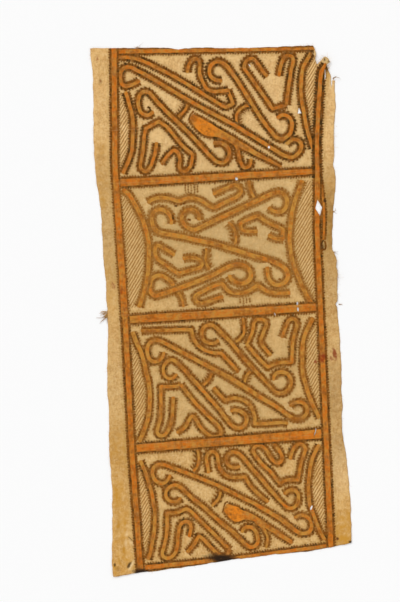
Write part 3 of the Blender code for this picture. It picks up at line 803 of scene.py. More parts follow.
def against(run, places, near=None):
    """How places lie to a run: along it, off it to the left, the ochre's share, the segment.

    Where near names a segment for each place, only the segments round that one count.
    """
    start = run.line[:-1, :2]
    step = np.diff(run.line[:, :2], axis=0)
    length = lengths(step)
    last = len(start) - 1
    low = np.zeros(last + 1)
    high = np.ones(last + 1)
    low[0] -= PAST_END / length[0]
    high[-1] += PAST_END / length[-1]
    if near is None:
        segments = np.arange(last + 1)[None, :]
    else:
        segments = np.clip(near[:, None] + np.arange(-3, 4), 0, last)
    away = places[:, None, :] - start[segments]
    share = (away * step[segments]).sum(2) / length[segments] ** 2
    share = np.clip(share, low[segments], high[segments])
    off = away - share[..., None] * step[segments]
    nearest = lengths(off).argmin(1)
    row = np.arange(len(places))
    segment = np.broadcast_to(segments, share.shape)[row, nearest]
    share, away, off = share[row, nearest], away[row, nearest], off[row, nearest]
    side = np.sign(step[segment, 0] * away[:, 1] - step[segment, 1] * away[:, 0])
    inner = np.clip(share, 0, 1)
    widths = run.line[segment, 2] * (1 - inner) + run.line[segment + 1, 2] * inner
    return run.along[segment] + share * length[segment], side * lengths(off), widths, segment


def teeth_of(stroke):
    """The lengths of a stroke's teeth on its left and on its right."""
    return tuple(stroke.kind.comb if side is None else side for side in (stroke.left, stroke.right))


def line_width(run):
    """How wide a run's dark lines are."""
    return run.stroke.kind.outline * run.panel.wide


def reach_of(run):
    """How far to either side a run's paint and teeth may show."""
    core = run.stroke.kind.core * run.line[:, 2].max()
    return core + line_width(run) + max(teeth_of(run.stroke)) + BLEED_REACH


def nearest_runs(runs, middles, radii):
    """For each face, the numbers of the runs that it may show, in the order of painting."""
    gaps = np.full((len(middles), SLOTS), np.inf)
    chosen = np.full((len(middles), SLOTS), -1)
    segments = np.zeros((len(middles), SLOTS), int)
    for number, run in enumerate(runs):
        reach = reach_of(run) + radii
        low, high = run.line[:, :2].min(0), run.line[:, :2].max(0)
        beyond = reach[:, None]
        about = np.nonzero(((middles > low - beyond) & (middles < high + beyond)).all(1))[0]
        if not len(about):
            continue
        _, off, widths, segment = against(run, middles[about])
        gap = abs(off) - run.stroke.kind.core * widths - line_width(run)
        worst = gaps[about].argmax(1)
        keep = (abs(off) < reach[about]) & (gap < gaps[about, worst])
        about, worst = about[keep], worst[keep]
        gaps[about, worst] = gap[keep]
        chosen[about, worst] = number
        segments[about, worst] = segment[keep]
    order = np.argsort(np.where(chosen < 0, len(runs), chosen), axis=1, kind="stable")
    return np.take_along_axis(chosen, order, 1), np.take_along_axis(segments, order, 1)


def paint_slots(runs, places, faces):
    """For each slot, what the shader reads at every corner: the place on the run, its form, its look."""
    corners = places[faces]
    middles = corners.mean(1)
    radii = lengths(corners - middles[:, None]).max(1)
    chosen, segments = nearest_runs(runs, middles, radii)
    slots = []
    for slot in range(SLOTS):
        on_run = np.zeros((len(faces), 3, 3), np.float32)
        on_run[..., 2] = -FAR_OFF
        form = np.zeros_like(on_run)
        look = np.zeros_like(on_run)
        for number in np.unique(chosen[:, slot]):
            if number < 0:
                continue
            run = runs[number]
            here = np.nonzero(chosen[:, slot] == number)[0]
            near = np.repeat(segments[here, slot], 3)
            along, off, widths, _ = against(run, corners[here].reshape(-1, 2), near)
            start = run.along[0] - (0 if run.first else LAP)
            end = run.along[-1] + (0 if run.last else LAP)
            within = np.minimum(along - start, end - along)
            core = np.where(run.stroke.kind.core > 0, run.stroke.kind.core * widths, NO_OCHRE)
            outer = np.maximum(core, 0) + line_width(run)
            left, right = teeth_of(run.stroke)
            teeth = np.where(off > 0, left, right)
            on_run[here] = np.stack([along / run.stroke.apart, off, within], 1).reshape(-1, 3, 3)
            form[here] = np.stack([core, outer, teeth], 1).reshape(-1, 3, 3)
            look[here] = (run.stroke.ink * run.panel.ink, run.panel.red, run.stroke.opens)
        slots.append((on_run, form, look))
    return slots


# The sheet's mesh


def rim_loops(node):
    """The loops of points round the painted side of the flat solid: its edge and its holes."""
    bm = bmesh.new()
    bm.from_mesh(node.data)
    bmesh.ops.remove_doubles(bm, verts=bm.verts, dist=SAME_PLACE * MM)
    upper = {face for face in bm.faces if face.normal.z > 0.5}
    rim = [edge for edge in bm.edges if sum(face in upper for face in edge.link_faces) == 1]
    beside = {}
    for edge in rim:
        first, second = edge.verts
        beside.setdefault(first, []).append(second)
        beside.setdefault(second, []).append(first)
    loops = []
    unused = set(beside)
    for first in sorted(beside, key=lambda vertex: vertex.index):
        if first not in unused:
            continue
        loop, vertex, previous = [], first, None
        while vertex in unused:
            unused.remove(vertex)
            loop.append(tuple(vertex.co.xy))
            ahead = [other for other in beside[vertex] if other != previous]
            previous, vertex = vertex, ahead[0]
        loops.append(np.array(loop))
    bm.free()
    return loops


def slit_loop(slit):
    """The points round a thin slit: a long shape, sharp at both ends and a little bent."""
    half = max(4, round(slit.length / 4))
    lean = radians(slit.lean)
    points = []
    for i in range(2 * half):
        along = -cos(pi * i / half)
        wide = slit.width / 2 * sin(pi * i / half)
        x = wide + slit.width * 0.3 * (1 - along**2)
        y = slit.length / 2 * along
        points.append(
            (slit.across + x * cos(lean) - y * sin(lean), slit.up + x * sin(lean) + y * cos(lean))
        )
    return np.array(points)


def frayed(loop):
    """A loop with points close together, moved in and out a little, as beaten fibre tears."""
    points = []
    for start, end in zip(loop, np.roll(loop, -1, axis=0)):
        length = lengths(end - start)
        normal = np.array([end[1] - start[1], start[0] - end[0]]) / max(length, 0.01)
        steps = max(1, round(length / RIM_STEP))
        for i in range(steps):
            place = start + (end - start) * i / steps
            waver = sum(
                share * noise.noise(Vector((*place / size, seed))) for size, share, seed in RIM_WAVES
            )
            points.append(place + normal * waver * RIM_FRAY)
    return np.array(points)


def ridge(distance, reach):
    """The share of a ridge's height that is left at this distance from its crest."""
    return np.where(abs(distance) < reach, np.cos(pi / 2 * np.clip(distance / reach, -1, 1)) ** 2, 0.0)


def fold_lines(across):
    """For each fold, how far up its crest lies, at places across the cloth."""
    share = across / WIDTH
    return [fold.left + (fold.right - fold.left) * share + fold.bow * np.sin(pi * share) for fold in FOLDS]


def height(places):
    """How far the underside of the cloth stands off the surface, in millimetres."""
    across, up = places.T
    share = across / WIDTH
    rise = np.zeros(len(places))
    for fold, line in zip(FOLDS, fold_lines(across)):
        peak = fold.rise_left + (fold.rise_right - fold.rise_left) * share
        peak = peak * (1 - RIDGE_SWING * (1 + np.sin(tau * (across + fold.left) / RIDGE_WAVE)) / 2)
        rise = np.maximum(rise, peak * ridge(up - line, fold.reach))
    for lift in LIFTS:
        rise = np.maximum(rise, lift.rise * ridge(np.hypot(across - lift.across, up - lift.up), lift.reach))
    for wrinkle in WRINKLES:
        start = np.array([wrinkle.across, wrinkle.up])
        step = np.array([wrinkle.to_across, wrinkle.to_up]) - start
        share = np.clip(((places - start) @ step) / (step @ step), 0, 1)
        off = lengths(places - start - share[:, None] * step)
        rise += wrinkle.rise * np.sin(pi * (0.1 + 0.8 * share)) * ridge(off, wrinkle.reach)
    for size, amount in WAVES:
        wave = [noise.noise(Vector((x / size, y / size, size))) for x, y in places]
        rise += amount * (WAVE_LEVEL + np.array(wave))
    return CLEARANCE + rise


def distances(places, others):
    """How far each place is from the nearest of the others."""
    tree = KDTree(len(others))
    for i, other in enumerate(others):
        tree.insert((*other, 0), i)
    tree.balance()
    return np.array([tree.find((*place, 0))[2] for place in places])


def scattered(step, free, rims, generator):
    """Points in rows over the cloth, each moved a little by chance, with none close to the rims."""
    rows = []
    for number, up in enumerate(np.arange(-step, LENGTH + 2 * step, step * ROW_SHARE)):
        across = np.arange(-step, WIDTH + 2 * step, step) + (number % 2) * step / 2
        rows.append(np.stack([across, np.full_like(across, up)], 1))
    points = np.concatenate(rows)
    points += generator.uniform(-SCATTER, SCATTER, points.shape) * step
    return points[distances(points, rims) > step * free]


def edges_of(loops):
    """The edges round the loops, as pairs of their points' numbers."""
    edges = []
    for loop in loops:
        first = len(edges)
        edges += [(first + i, first + (i + 1) % len(loop)) for i in range(len(loop))]
    return edges


def filled(loops, points):
    """Triangles over the inside of the loops: the places used, loops first, and the faces."""
    rims = np.concatenate(loops)
    places = [Vector(place) for place in np.concatenate([rims, points])]
    made, _, faces, sources, _, _ = delaunay_2d_cdt(places, edges_of(loops), [], 0, 1e-5, True)
    made = np.array([tuple(place) for place in made])
    faces = np.array(faces)
    faces = faces[inside(made[faces].mean(1), loops)]
    source = np.array([min(came_from) if came_from else -1 for came_from in sources])
    used = np.unique(faces)
    on_rim = used[(source[used] >= 0) & (source[used] < len(rims))]
    if len(on_rim) != len(rims):
        raise ValueError(f"{len(rims) - len(on_rim)} points of the rim were lost")
    used = np.concatenate([on_rim[np.argsort(source[on_rim])], np.setdiff1d(used, on_rim)])
    number = np.full(len(made), -1)
    number[used] = np.arange(len(used))
    return made[used], number[faces]


def outward(loops):
    """At each point of the loops, the direction in the plane away from the cloth."""
    directions = []
    for loop in loops:
        ahead = np.roll(loop, -1, axis=0) - np.roll(loop, 1, axis=0)
        ahead /= np.maximum(lengths(ahead), 1e-6)[:, None]
        turned = np.stack([ahead[:, 1], -ahead[:, 0]], 1)
        area = (loop[:, 0] * np.roll(loop[:, 1], -1) - np.roll(loop[:, 0], -1) * loop[:, 1]).sum()
        is_hole = loop is not loops[0]
        directions.append(turned * np.sign(area) * (-1 if is_hole else 1))
    return np.concatenate(directions)


def wall_faces(loops, places, away, shift):
    """Faces that close the sheet between the rims of its two sides, and look away from the cloth."""
    walls = []
    for start, end in edges_of(loops):
        walls += [(start, shift + start, end), (end, shift + start, shift + end)]
    walls = np.array(walls)
    for face in walls:
        points = np.column_stack([places[face], face < shift])
        looks = np.cross(points[1] - points[0], points[2] - points[0])[:2]
        if looks @ away[face[face < shift][0]] < 0:
            face[:] = face[::-1]
    return walls


def bark_sheet(loops, runs, collection):
    """The beaten sheet as one closed thin mesh, with its painting, its wear and its painted shade as
    attributes.
    """
    generator = np.random.default_rng(SEED)
    rims = np.concatenate(loops)
    away = outward(loops)
    top, top_faces = filled(loops, scattered(TOP_STEP, TOP_FREE, rims, generator))
    under, under_faces = filled(loops, scattered(UNDER_STEP, UNDER_FREE, rims, generator))
    shift = len(top)
    places = np.concatenate([top, under])
    walls = wall_faces(loops, places, away, shift)
    faces = np.concatenate([top_faces, under_faces[:, ::-1] + shift, walls])
    thick = RIM_THICK + (SHEET_THICK - RIM_THICK) * np.clip(distances(top, rims) / RIM_THINS, 0, 1)
    heights = np.concatenate([height(top) + thick, height(under)])
    mesh = bpy.data.meshes.new("bark_sheet")
    mesh.from_pydata((np.column_stack([places - CENTRE, heights]) * MM).tolist(), [], faces.tolist())
    mesh.shade_smooth()
    for slot, numbers in enumerate(paint_slots(runs, places, faces)):
        for name, values in zip(("run", "form", "look"), numbers):
            add_attribute(mesh, f"{name}_{slot}", "CORNER", values)
    side = np.zeros((len(places), 3))
    side[:shift, 0] = 1.0
    side[:, 1] = hatched_at(places)
    stains, washes = stains_at(places)
    wear_and_shade = wear_and_shade_at(places, rims)
    for name, values in (("wear_and_shade", wear_and_shade), ("stain", stains), ("wash", washes), ("side", side)):
        add_attribute(mesh, name, "POINT", values)
    lay_map(mesh, places, faces, away, shift, len(top_faces), len(walls))
    sheet = bpy.data.objects.new("bark_sheet", mesh)
    collection.objects.link(sheet)
    return sheet


def add_attribute(mesh, name, domain, values):
    """Keeps three numbers for each point or corner of the mesh."""
    attribute = mesh.attributes.new(name, "FLOAT_VECTOR", domain)
    attribute.data.foreach_set("vector", np.ascontiguousarray(values, np.float32).ravel())


def lay_map(mesh, places, faces, away, shift, top_count, wall_count):
    """Lays the texture map: the painted side and the underside side by side, seen from above."""
    scale = min(MAP_WIDE / WIDTH, MAP_LONG / LENGTH)
    flat = places[faces] * scale + MAP_MARGIN
    flat[top_count:-wall_count, :, 0] += MAP_MIDDLE
    walls = faces[-wall_count:]
    below = walls >= shift
    flat[-wall_count:] += away[walls - below * shift] * (below[..., None] * SHEET_THICK * scale)
    layer = mesh.uv_layers.new(name="OFBake")
    layer.data.foreach_set("uv", flat.astype(np.float32).ravel())


def wear_and_shade_at(places, rims):
    """For each place how far it is from the nearest fold's crest and from the rim, where the pigment wears
    and the painted shade lies.
    """
    across, up = places.T
    away = np.stack([up - line for line in fold_lines(across)])
    fold = away[abs(away).argmin(0), np.arange(len(places))]
    rim = np.minimum(distances(places, rims), RIM_FELT)
    return np.stack([fold, rim, np.zeros(len(places))], 1)


def stains_at(places):
    """For each place the red, dark and tan stain, and the dull, pale and brown wash."""
    stains = np.zeros((len(places), 3))
    washes = np.zeros((len(places), 3))
    for stain in STAINS:
        lean = radians(stain.lean) - CHART_TURN
        away = places - np.array(on_cloth(WHOLE, stain.right, stain.down))
        x = (away[:, 0] * cos(lean) + away[:, 1] * sin(lean)) / (stain.wide * WHOLE.square / 2)
        y = (away[:, 1] * cos(lean) - away[:, 0] * sin(lean)) / (stain.long * WHOLE.square / 2)
        share = np.clip(STAIN_MIDDLE - STAIN_FADE * np.hypot(x, y), 0, 1)[:, None]
        stains = np.maximum(stains, share * np.array([stain.red, stain.dark, stain.tan]))
        washes = np.maximum(washes, share * np.array([stain.dull, stain.pale, stain.brown]))
    return stains, washes


def curve_of(stroke, chart):
    """A smooth line through a stroke's charted points, on the cloth."""
    return smooth_line(np.array([on_cloth(chart, *point[:2]) for point in stroke.points]))


def hatched_at(places):
    """For each place 1 between a side arc and the border beside it, and 0 elsewhere."""
    borders = [curve_of(stroke, WHOLE) for stroke in FRAME_LINES if stroke.kind in BORDERS]
    arcs = [
        curve_of(stroke, panel.chart)
        for panel in PAINTING
        for stroke in panel.strokes
        if stroke.kind in SIDE_ARCS
    ]
    hatched = np.zeros(len(places))
    for arc in arcs:
        middle = arc[:, 0].mean()
        low, high = arc[:, 1].min(), arc[:, 1].max()
        level = [line[(line[:, 1] > low) & (line[:, 1] < high)] for line in borders]
        level = [line for line in level if len(line) and np.ptp(line[:, 1]) > (high - low) / 2]
        beside = min(level, key=lambda line: abs(line[:, 0].mean() - middle))
        if (arc[0] - arc[-1])[1] * (beside[0] - beside[-1])[1] > 0:
            beside = beside[::-1]
        hatched = np.maximum(hatched, inside(places, [np.concatenate([arc, beside])]))
    return hatched


def inside(places, loops):
    """Which places lie in the outer loop and in none of the others."""
    order = np.argsort(places[:, 1])
    across, up = places[order].T
    crossings = np.zeros(len(places), int)
    for loop in loops:
        for start, end in zip(loop, np.roll(loop, -1, axis=0)):
            low, high = np.searchsorted(up, sorted((start[1], end[1])))
            share = (up[low:high] - start[1]) / (end[1] - start[1] or 1.0)
            crossings[low:high] += across[low:high] < start[0] + (end[0] - start[0]) * share
    found = np.zeros(len(places), bool)
    found[order] = crossings % 2 == 1
    return found


# Loose fibres


def fibre_rings(points, radius):
    """A fibre's rings of three points, thinning to its tip."""
    rings = []
    for i, point in enumerate(points):
        ahead = (points[min(i + 1, len(points) - 1)] - points[max(i - 1, 0)]).normalized()
        side = ahead.cross(Vector((0, 0, 1))).normalized()
        over = side.cross(ahead)
        wide = radius * (1 - FIBRE_THINS * i / (len(points) - 1))
        rings.append([
            point + side * wide * cos(tau * j / 3) + over * wide * sin(tau * j / 3) * FIBRE_FLAT
            for j in range(3)
        ])
    return rings


def fibre_points(start, heading, length, curl, lift, generator):
    """Points along one loose fibre, in millimetres, from its root in the cloth."""
    count = 5 + round(length / 9)
    place = Vector(start)
    points = [place.copy()]
    for i in range(count - 1):
        heading += curl / count + generator.normal(0, FIBRE_WAVER)
        place += Vector((cos(heading), sin(heading), 0)) * length / (count - 1)
        rise = lift * sin(pi * 0.6 * (i + 1) / count)
        place.z = max(FIBRE_LOWEST, start[2] + rise - FIBRE_SINKS * i)
        points.append(place.copy())
    return points


def fray_at(place):
    """How frayed the edge is here, from 0 to 1."""
    return max(0.0, *(1 - hypot(place[0] - at.across, place[1] - at.up) / at.reach for at in FRAYED))


def edge_strands(loops, generator):
    """The short fuzz round every edge: each strand's points, its radius and how brown it is."""
    rims = np.concatenate(loops)
    level = height(rims) + RIM_THICK / 2
    strands = []
    for place, direction, z in zip(rims, outward(loops), level):
        fray = fray_at(place)
        if generator.random() > FUZZ_SHARE + FRAYED_SHARE * fray:
            continue
        root = (*(place - direction * FUZZ_ROOT), z)
        length = generator.gamma(2.0, FUZZ_LENGTH) * (1 + FRAYED_LENGTH * fray) + FUZZ_LEAST
        heading = np.arctan2(direction[1], direction[0]) + generator.normal(0, FUZZ_LOOSE)
        curl = generator.normal(0, FUZZ_CURL)
        points = fibre_points(root, heading, length, curl, FUZZ_LIFT, generator)
        strands.append((points, generator.uniform(*FUZZ_RADIUS), 0.0))
    return strands


def tuft_strands(generator):
    """The longer strands where the cloth has torn, told as those round the edges are."""
    strands = []
    for tuft in TUFTS:
        x, y = on_cloth(WHOLE, tuft.right, tuft.down)
        turn = radians(tuft.heading) + pi / 2
        for _ in range(tuft.count):
            along = generator.uniform(-0.5, 0.5) * tuft.spread
            level = TUFT_ROOT + TUFT_ROOT_LIFT * tuft.lift
            root = (x + cos(turn) * along, y + sin(turn) * along, level)
            length = tuft.length * generator.uniform(*TUFT_LENGTHS)
            heading = radians(tuft.heading) + generator.normal(0, tuft.loose)
            curl = tuft.curl + generator.normal(0, TUFT_CURL)
            points = fibre_points(root, heading, length, curl, tuft.lift, generator)
            strands.append((points, tuft.radius * generator.uniform(*TUFT_RADII), tuft.brown))
    return strands


def edge_fibres(loops, collection):
    """All the loose fibres as one mesh of thin closed strands."""
    generator = np.random.default_rng(SEED + 1)
    bm = bmesh.new()
    washes = []
    for points, radius, brown in [*edge_strands(loops, generator), *tuft_strands(generator)]:
        rings = [[bm.verts.new(point) for point in ring] for ring in fibre_rings(points, radius)]
        washes += [(0.0, 0.0, brown)] * (3 * len(rings))
        for ring, after in pairwise(rings):
            for j in range(3):
                bm.faces.new((ring[j], ring[(j + 1) % 3], after[(j + 1) % 3], after[j]))
        bm.faces.new(rings[0][::-1])
        bm.faces.new(rings[-1])
    for vertex in bm.verts:
        vertex.co = ((vertex.co.x - CENTRE[0]) * MM, (vertex.co.y - CENTRE[1]) * MM, vertex.co.z * MM)
    bmesh.ops.recalc_face_normals(bm, faces=bm.faces)
    bmesh.ops.triangulate(bm, faces=bm.faces)
    mesh = bpy.data.meshes.new("edge_fibres")
    bm.to_mesh(mesh)
    bm.free()
    add_attribute(mesh, "wash", "POINT", washes)
    mesh.shade_smooth()
    fibres = bpy.data.objects.new("edge_fibres", mesh)
    collection.objects.link(fibres)
    return fibres


# Shader nodes


class Net:
    """The nodes of one material, written as sums and calls."""

    def __init__(self, material):
        material.use_nodes = True
        self.tree = material.node_tree
        self.tree.nodes.clear()

    def node(self, kind, **settings):
        made = self.tree.nodes.new(f"ShaderNode{kind}")
        for name, value in settings.items():
            setattr(made, name, value)
        return made

    def feed(self, socket, value):
        """Links a number to a socket, or sets the socket where the value is plain."""
        if isinstance(value, Number):
            self.tree.links.new(value.socket, socket)
        else:
            socket.default_value = value

    def math(self, operation, *values, clamped=False):
        made = self.node("Math", operation=operation, use_clamp=clamped)
        for socket, value in zip(made.inputs, values):
            self.feed(socket, value)
        return Number(self, made.outputs[0])

    def read(self, name):
        """The three numbers of one of the mesh's attributes."""
        made = self.node("Attribute", attribute_name=name)
        return self.split(Number(self, made.outputs["Vector"]))

    def split(self, vector):
        made = self.node("SeparateXYZ")
        self.feed(made.inputs[0], vector)
        return tuple(Number(self, socket) for socket in made.outputs)

    def joined(self, x, y, z=0.0):
        made = self.node("CombineXYZ")
        for socket, value in zip(made.inputs, (x, y, z)):
            self.feed(socket, value)
        return Number(self, made.outputs[0])

    def noises(self, x, y, size, detail=2.0):
        """Three soft random fields, each mostly from -1 to 1, whose humps are about this size."""
        made = self.node("TexNoise", noise_dimensions="2D")
        self.feed(made.inputs["Vector"], self.joined(x, y))
        made.inputs["Scale"].default_value = 1 / size
        made.inputs["Detail"].default_value = detail
        return tuple((value - 0.5) * 3.0 for value in self.split(Number(self, made.outputs["Color"])))

    def chance(self, number, other=0.0):
        """A random number from 0 to 1 that is the same wherever these two are."""
        made = self.node("TexWhiteNoise", noise_dimensions="2D")
        self.feed(made.inputs["Vector"], self.joined(number, other))
        return Number(self, made.outputs["Value"])

    def mixed(self, share, low, high):
        """A colour between two, by the share of the second."""
        made = self.node("Mix", data_type="RGBA")
        self.feed(made.inputs["Factor"], share)
        colours = [socket for socket in made.inputs if socket.type == "RGBA"]
        self.feed(colours[0], low)
        self.feed(colours[1], high)
        return Number(self, next(socket for socket in made.outputs if socket.type == "RGBA"))

    def between(self, share, low, high):
        """A number between two, by the share of the second."""
        return low + (high - low) * share

    def finish(self, colour, roughness, specular, normal=None):
        """Ends the material with its shader."""
        shader = self.node("BsdfPrincipled")
        self.feed(shader.inputs["Base Color"], colour)
        self.feed(shader.inputs["Roughness"], roughness)
        self.feed(shader.inputs["Specular IOR Level"], specular)
        if normal is not None:
            self.feed(shader.inputs["Normal"], normal)
        output = self.node("OutputMaterial")
        self.tree.links.new(shader.outputs["BSDF"], output.inputs["Surface"])


class Number:
    """A value in a material, held as the socket that it comes out of."""

    def __init__(self, net, socket):
        self.net = net
        self.socket = socket

    def __add__(self, other):
        return self.net.math("ADD", self, other)

    def __sub__(self, other):
        return self.net.math("SUBTRACT", self, other)

    def __rsub__(self, other):
        return self.net.math("SUBTRACT", other, self)

    def __mul__(self, other):
        return self.net.math("MULTIPLY", self, other)

    def __truediv__(self, other):
        return self.net.math("DIVIDE", self, other)

    def __abs__(self):
        return self.net.math("ABSOLUTE", self)

    __radd__ = __add__
    __rmul__ = __mul__

    def over(self, limit, soft):
        """1 where this is over the limit and 0 where it is under, with a soft step between."""
        return self.net.math("ADD", (self - limit) / soft, 0.5, clamped=True)

    def under(self, limit, soft):
        return 1.0 - self.over(limit, soft)

    def most(self, other):
        return self.net.math("MAXIMUM", self, other)

    def clamped(self):
        return self.net.math("ADD", self, 0.0, clamped=True)

    def part(self):
        """What is left of it above its whole number."""
        return self.net.math("FRACT", self)

    def whole(self):
        return self.net.math("FLOOR", self)

    def sign(self):
        return self.net.math("SIGN", self)


# The material, in whose sums the numbers are weights of the random fields


def colour(red, green, blue):
    """A colour given as on a screen, each part from 0 to 255, as Blender's nodes take it."""
    return (*(((part / 255 + 0.055) / 1.055) ** 2.4 for part in (red, green, blue)), 1.0)


BARK = colour(227, 184, 119)
BARK_PALE = colour(239, 206, 152)
BARK_WARM = colour(223, 166, 97)
# A deeper bark tone, also used for the painted shade along the fold crests and the rim
BARK_DEEP = colour(190, 140, 76)
BARK_TAN = colour(200, 142, 46)
BARK_DULL = colour(194, 161, 107)
BARK_BLED = colour(146, 112, 48)
BARK_BROWN = colour(128, 88, 36)
OCHRE_DULL = colour(191, 135, 53)
OCHRE_RED = colour(200, 107, 20)
OCHRE_BRIGHT = colour(230, 134, 32)
OCHRE_DEEP = colour(146, 84, 22)
DARK_LINE = colour(62, 42, 10)
DARK_BROWN = colour(122, 70, 14)
THIN_LINE = colour(148, 96, 32)
RED_STAIN = colour(134, 48, 18)
DARK_STAIN = colour(46, 31, 17)

# What the shader knows of a place: where it is, random fields, its wear and painted shade, and its stains
Place = namedtuple(
    "Place",
    "x y waver jitter speck grain blotch patch fibre cross "
    "side hatched fold rim red dark tan dull pale brown",
)
Paint = namedtuple("Paint", "ochre dark teeth bleed rope ink red wide along off")


def this_place(net):
    """Where this is in millimetres, the random fields here, and what the mesh says of it."""
    x, y, _ = net.split(Number(net, net.node("TexCoord").outputs["Object"]))
    x, y = x / MM, y / MM
    jitter = net.noises(x, y, 6.0)
    side, hatched, _ = net.read("side")
    fold, rim, _ = net.read("wear_and_shade")
    red, dark, tan = net.read("stain")
    dull, pale, brown = net.read("wash")
    return Place(
        x=x,
        y=y,
        waver=net.noises(x, y, 26.0),
        jitter=jitter,
        speck=net.noises(x, y, 3.4),
        grain=net.noises(x, y, 1.7),
        blotch=net.noises(x, y, 60.0, 3.0),
        patch=net.noises(x, y, 13.0, 3.0),
        fibre=net.noises(x + jitter[0], y / 22.0, 1.3, 3.0),
        cross=net.noises(x * 0.35 + y * 0.94, (y * 0.35 - x * 0.94) / 14.0, 1.6)[0],
        side=side,
        hatched=hatched,
        fold=fold,
        rim=rim,
        red=red,
        dark=dark,
        tan=tan,
        dull=dull,
        pale=pale,
        brown=brown,
    )


def bare_bark(net, at):
    """The beaten ground, cloudy and fibrous, with its washes and dark flecks."""
    clear = 0.6 + 0.45 * at.blotch[0] + 0.65 * at.patch[0] + 0.55 * at.jitter[1] + 0.45 * at.speck[0]
    light = 0.3 * at.fibre[0] + 0.25 * at.cross + 0.3 * at.blotch[1] + 0.5 * at.jitter[2] + 0.3 * at.speck[1]
    warm = 0.3 * at.blotch[2] + 0.25 * at.patch[1]
    mottled = 0.85 + 0.7 * at.patch[1] + 0.6 * at.blotch[1] + 0.3 * at.grain[1]
    uneven = 0.8 + 0.3 * at.patch[2]
    flecks = (at.fibre[1] + 0.6 * at.patch[1]).over(1.25, 0.3) * 0.45
    bark = net.mixed((clear + 0.4 * at.fibre[0]).clamped(), BARK_DEEP, BARK)
    for share, tint in (
        (light, BARK_PALE),
        (warm, BARK_WARM),
        (at.tan * mottled, BARK_TAN),
        (at.dull * uneven, BARK_DULL),
        (at.pale * uneven, BARK_PALE),
        (at.brown * (0.85 + 0.4 * at.patch[2]), BARK_BROWN),
    ):
        bark = net.mixed(share.clamped(), bark, tint)
    return net.mixed(flecks, bark, BARK_DEEP)


def painted_over(net, at, slot, paint):
    """The painting with the stroke over it that this slot of the mesh's numbers holds."""
    along, off, inside_run = net.read(f"run_{slot}")
    core, outer, comb = net.read(f"form_{slot}")
    ink, red, opens = net.read(f"look_{slot}")
    away = abs(off + 0.9 * at.waver[0]) + 0.5 * at.jitter[0] + 0.25 * at.grain[1]
    on = (inside_run + 0.5 * at.grain[0] + 0.8 * at.jitter[2]).over(0.7, 0.8)
    in_core = away.under(core, 0.6) * (inside_run + 0.5 * at.grain[2] + 1.4 * at.jitter[1]).over(-1.4, 1.2)
    outside = away - outer
    in_line = outside.under(0.7 * at.patch[2] - 0.2, 1.5) * on * (1.0 - opens * paint.ochre)

    # Teeth stand at every beat along the line, and each is longer or shorter by luck
    tooth = (along + 0.3 * outside + 1.2 * at.jitter[2]) / (TOOTH_PITCH + TOOTH_SPREAD * comb)
    beat = abs(tooth.part() - 0.5)
    luck = net.chance(tooth.whole(), off.sign())
    reach = outside / (comb.most(0.1) * (0.5 + 0.7 * luck))
    gap = (0.72 - 0.5 * ink).clamped()
    sharp = gap + (1.0 - gap) * beat.under(0.29 - 0.05 * reach.clamped(), 0.26)
    in_teeth = sharp * reach.under(0.9, 0.9) * outside.over(-1.0, 0.5) * comb.over(1.0, 0.5) * on

    painted = in_core.most(in_line).most(in_teeth)
    return Paint(
        ochre=(paint.ochre * (1.0 - in_line)).most(in_core),
        dark=paint.dark.most(in_line),
        teeth=paint.teeth.most(in_teeth),
        bleed=paint.bleed.most(outside.under(comb + 3.5, 7.0) * inside_run.over(-0.5, 5.0)),
        rope=net.between(in_line, paint.rope, beat),
        ink=net.between(painted, paint.ink, ink),
        red=net.between(painted, paint.red, red),
        wide=net.between(in_core, paint.wide, core.over(13.5, 6.5)),
        along=net.between(in_core, paint.along, along),
        off=net.between(in_core, paint.off, off),
    )


def hatching(at, unpainted):
    """How much of a hatching line is here."""
    slant = at.x * sin(HATCH_RISE) - at.y * cos(HATCH_RISE) + 0.9 * at.waver[1] + 0.3 * at.jitter[1]
    lines = abs((slant / HATCH_PITCH).part() - 0.5).under(HATCH_WIDTH / 2, 0.12)
    return lines * at.hatched.over(0.5, 0.3) * unpainted


def ochre(net, at, paint, rubbed):
    """The ochre's colour, streaked along the brush's way, and how well it covers the bark."""
    streaks = net.noises(paint.along / 16.0, paint.off, 1.5, 2.0)
    red = paint.red + 0.15 * paint.wide + 0.7 * at.patch[1] + 0.45 * at.blotch[2] + 0.25 * streaks[0]
    deep = 0.28 - 0.25 * paint.wide + 0.7 * at.patch[0] + 0.6 * at.blotch[1] + 0.25 * at.fibre[2]
    deep = deep + 0.3 * streaks[1] + 0.3 * at.jitter[2]
    tint = net.mixed(red.clamped(), OCHRE_DULL, OCHRE_RED)
    tint = net.mixed((paint.wide * 0.8).clamped(), tint, OCHRE_BRIGHT)
    tint = net.mixed(deep.clamped(), tint, OCHRE_DEEP)
    hold = 0.96 + 0.12 * paint.wide - 0.1 * at.fibre[0] - 0.06 * at.cross - 0.12 * at.patch[2]
    return tint, hold + 0.12 * streaks[0] - 0.2 * rubbed


def dark_lines(net, at, paint, rubbed):
    """The dark lines' colour, browner where their ink is thin, and how well they cover the bark."""
    thin = 1.0 - paint.ink
    brown = 0.35 + 0.9 * at.patch[2] + 0.5 * at.blotch[1] + 0.4 * at.jitter[1] + 0.7 * paint.rope
    tint = net.mixed((brown + 1.3 * thin).clamped(), DARK_LINE, DARK_BROWN)
    faded = 1.9 * thin - 0.25 + 0.8 * at.patch[0] + 0.5 * at.jitter[0]
    tint = net.mixed(faded.clamped(), tint, THIN_LINE)
    hold = 1.06 - 0.1 * at.fibre[0] - 0.1 * at.jitter[0] - 0.15 * at.patch[1] - 0.2 * paint.rope
    return tint, hold - 0.2 * rubbed - 0.2 * thin


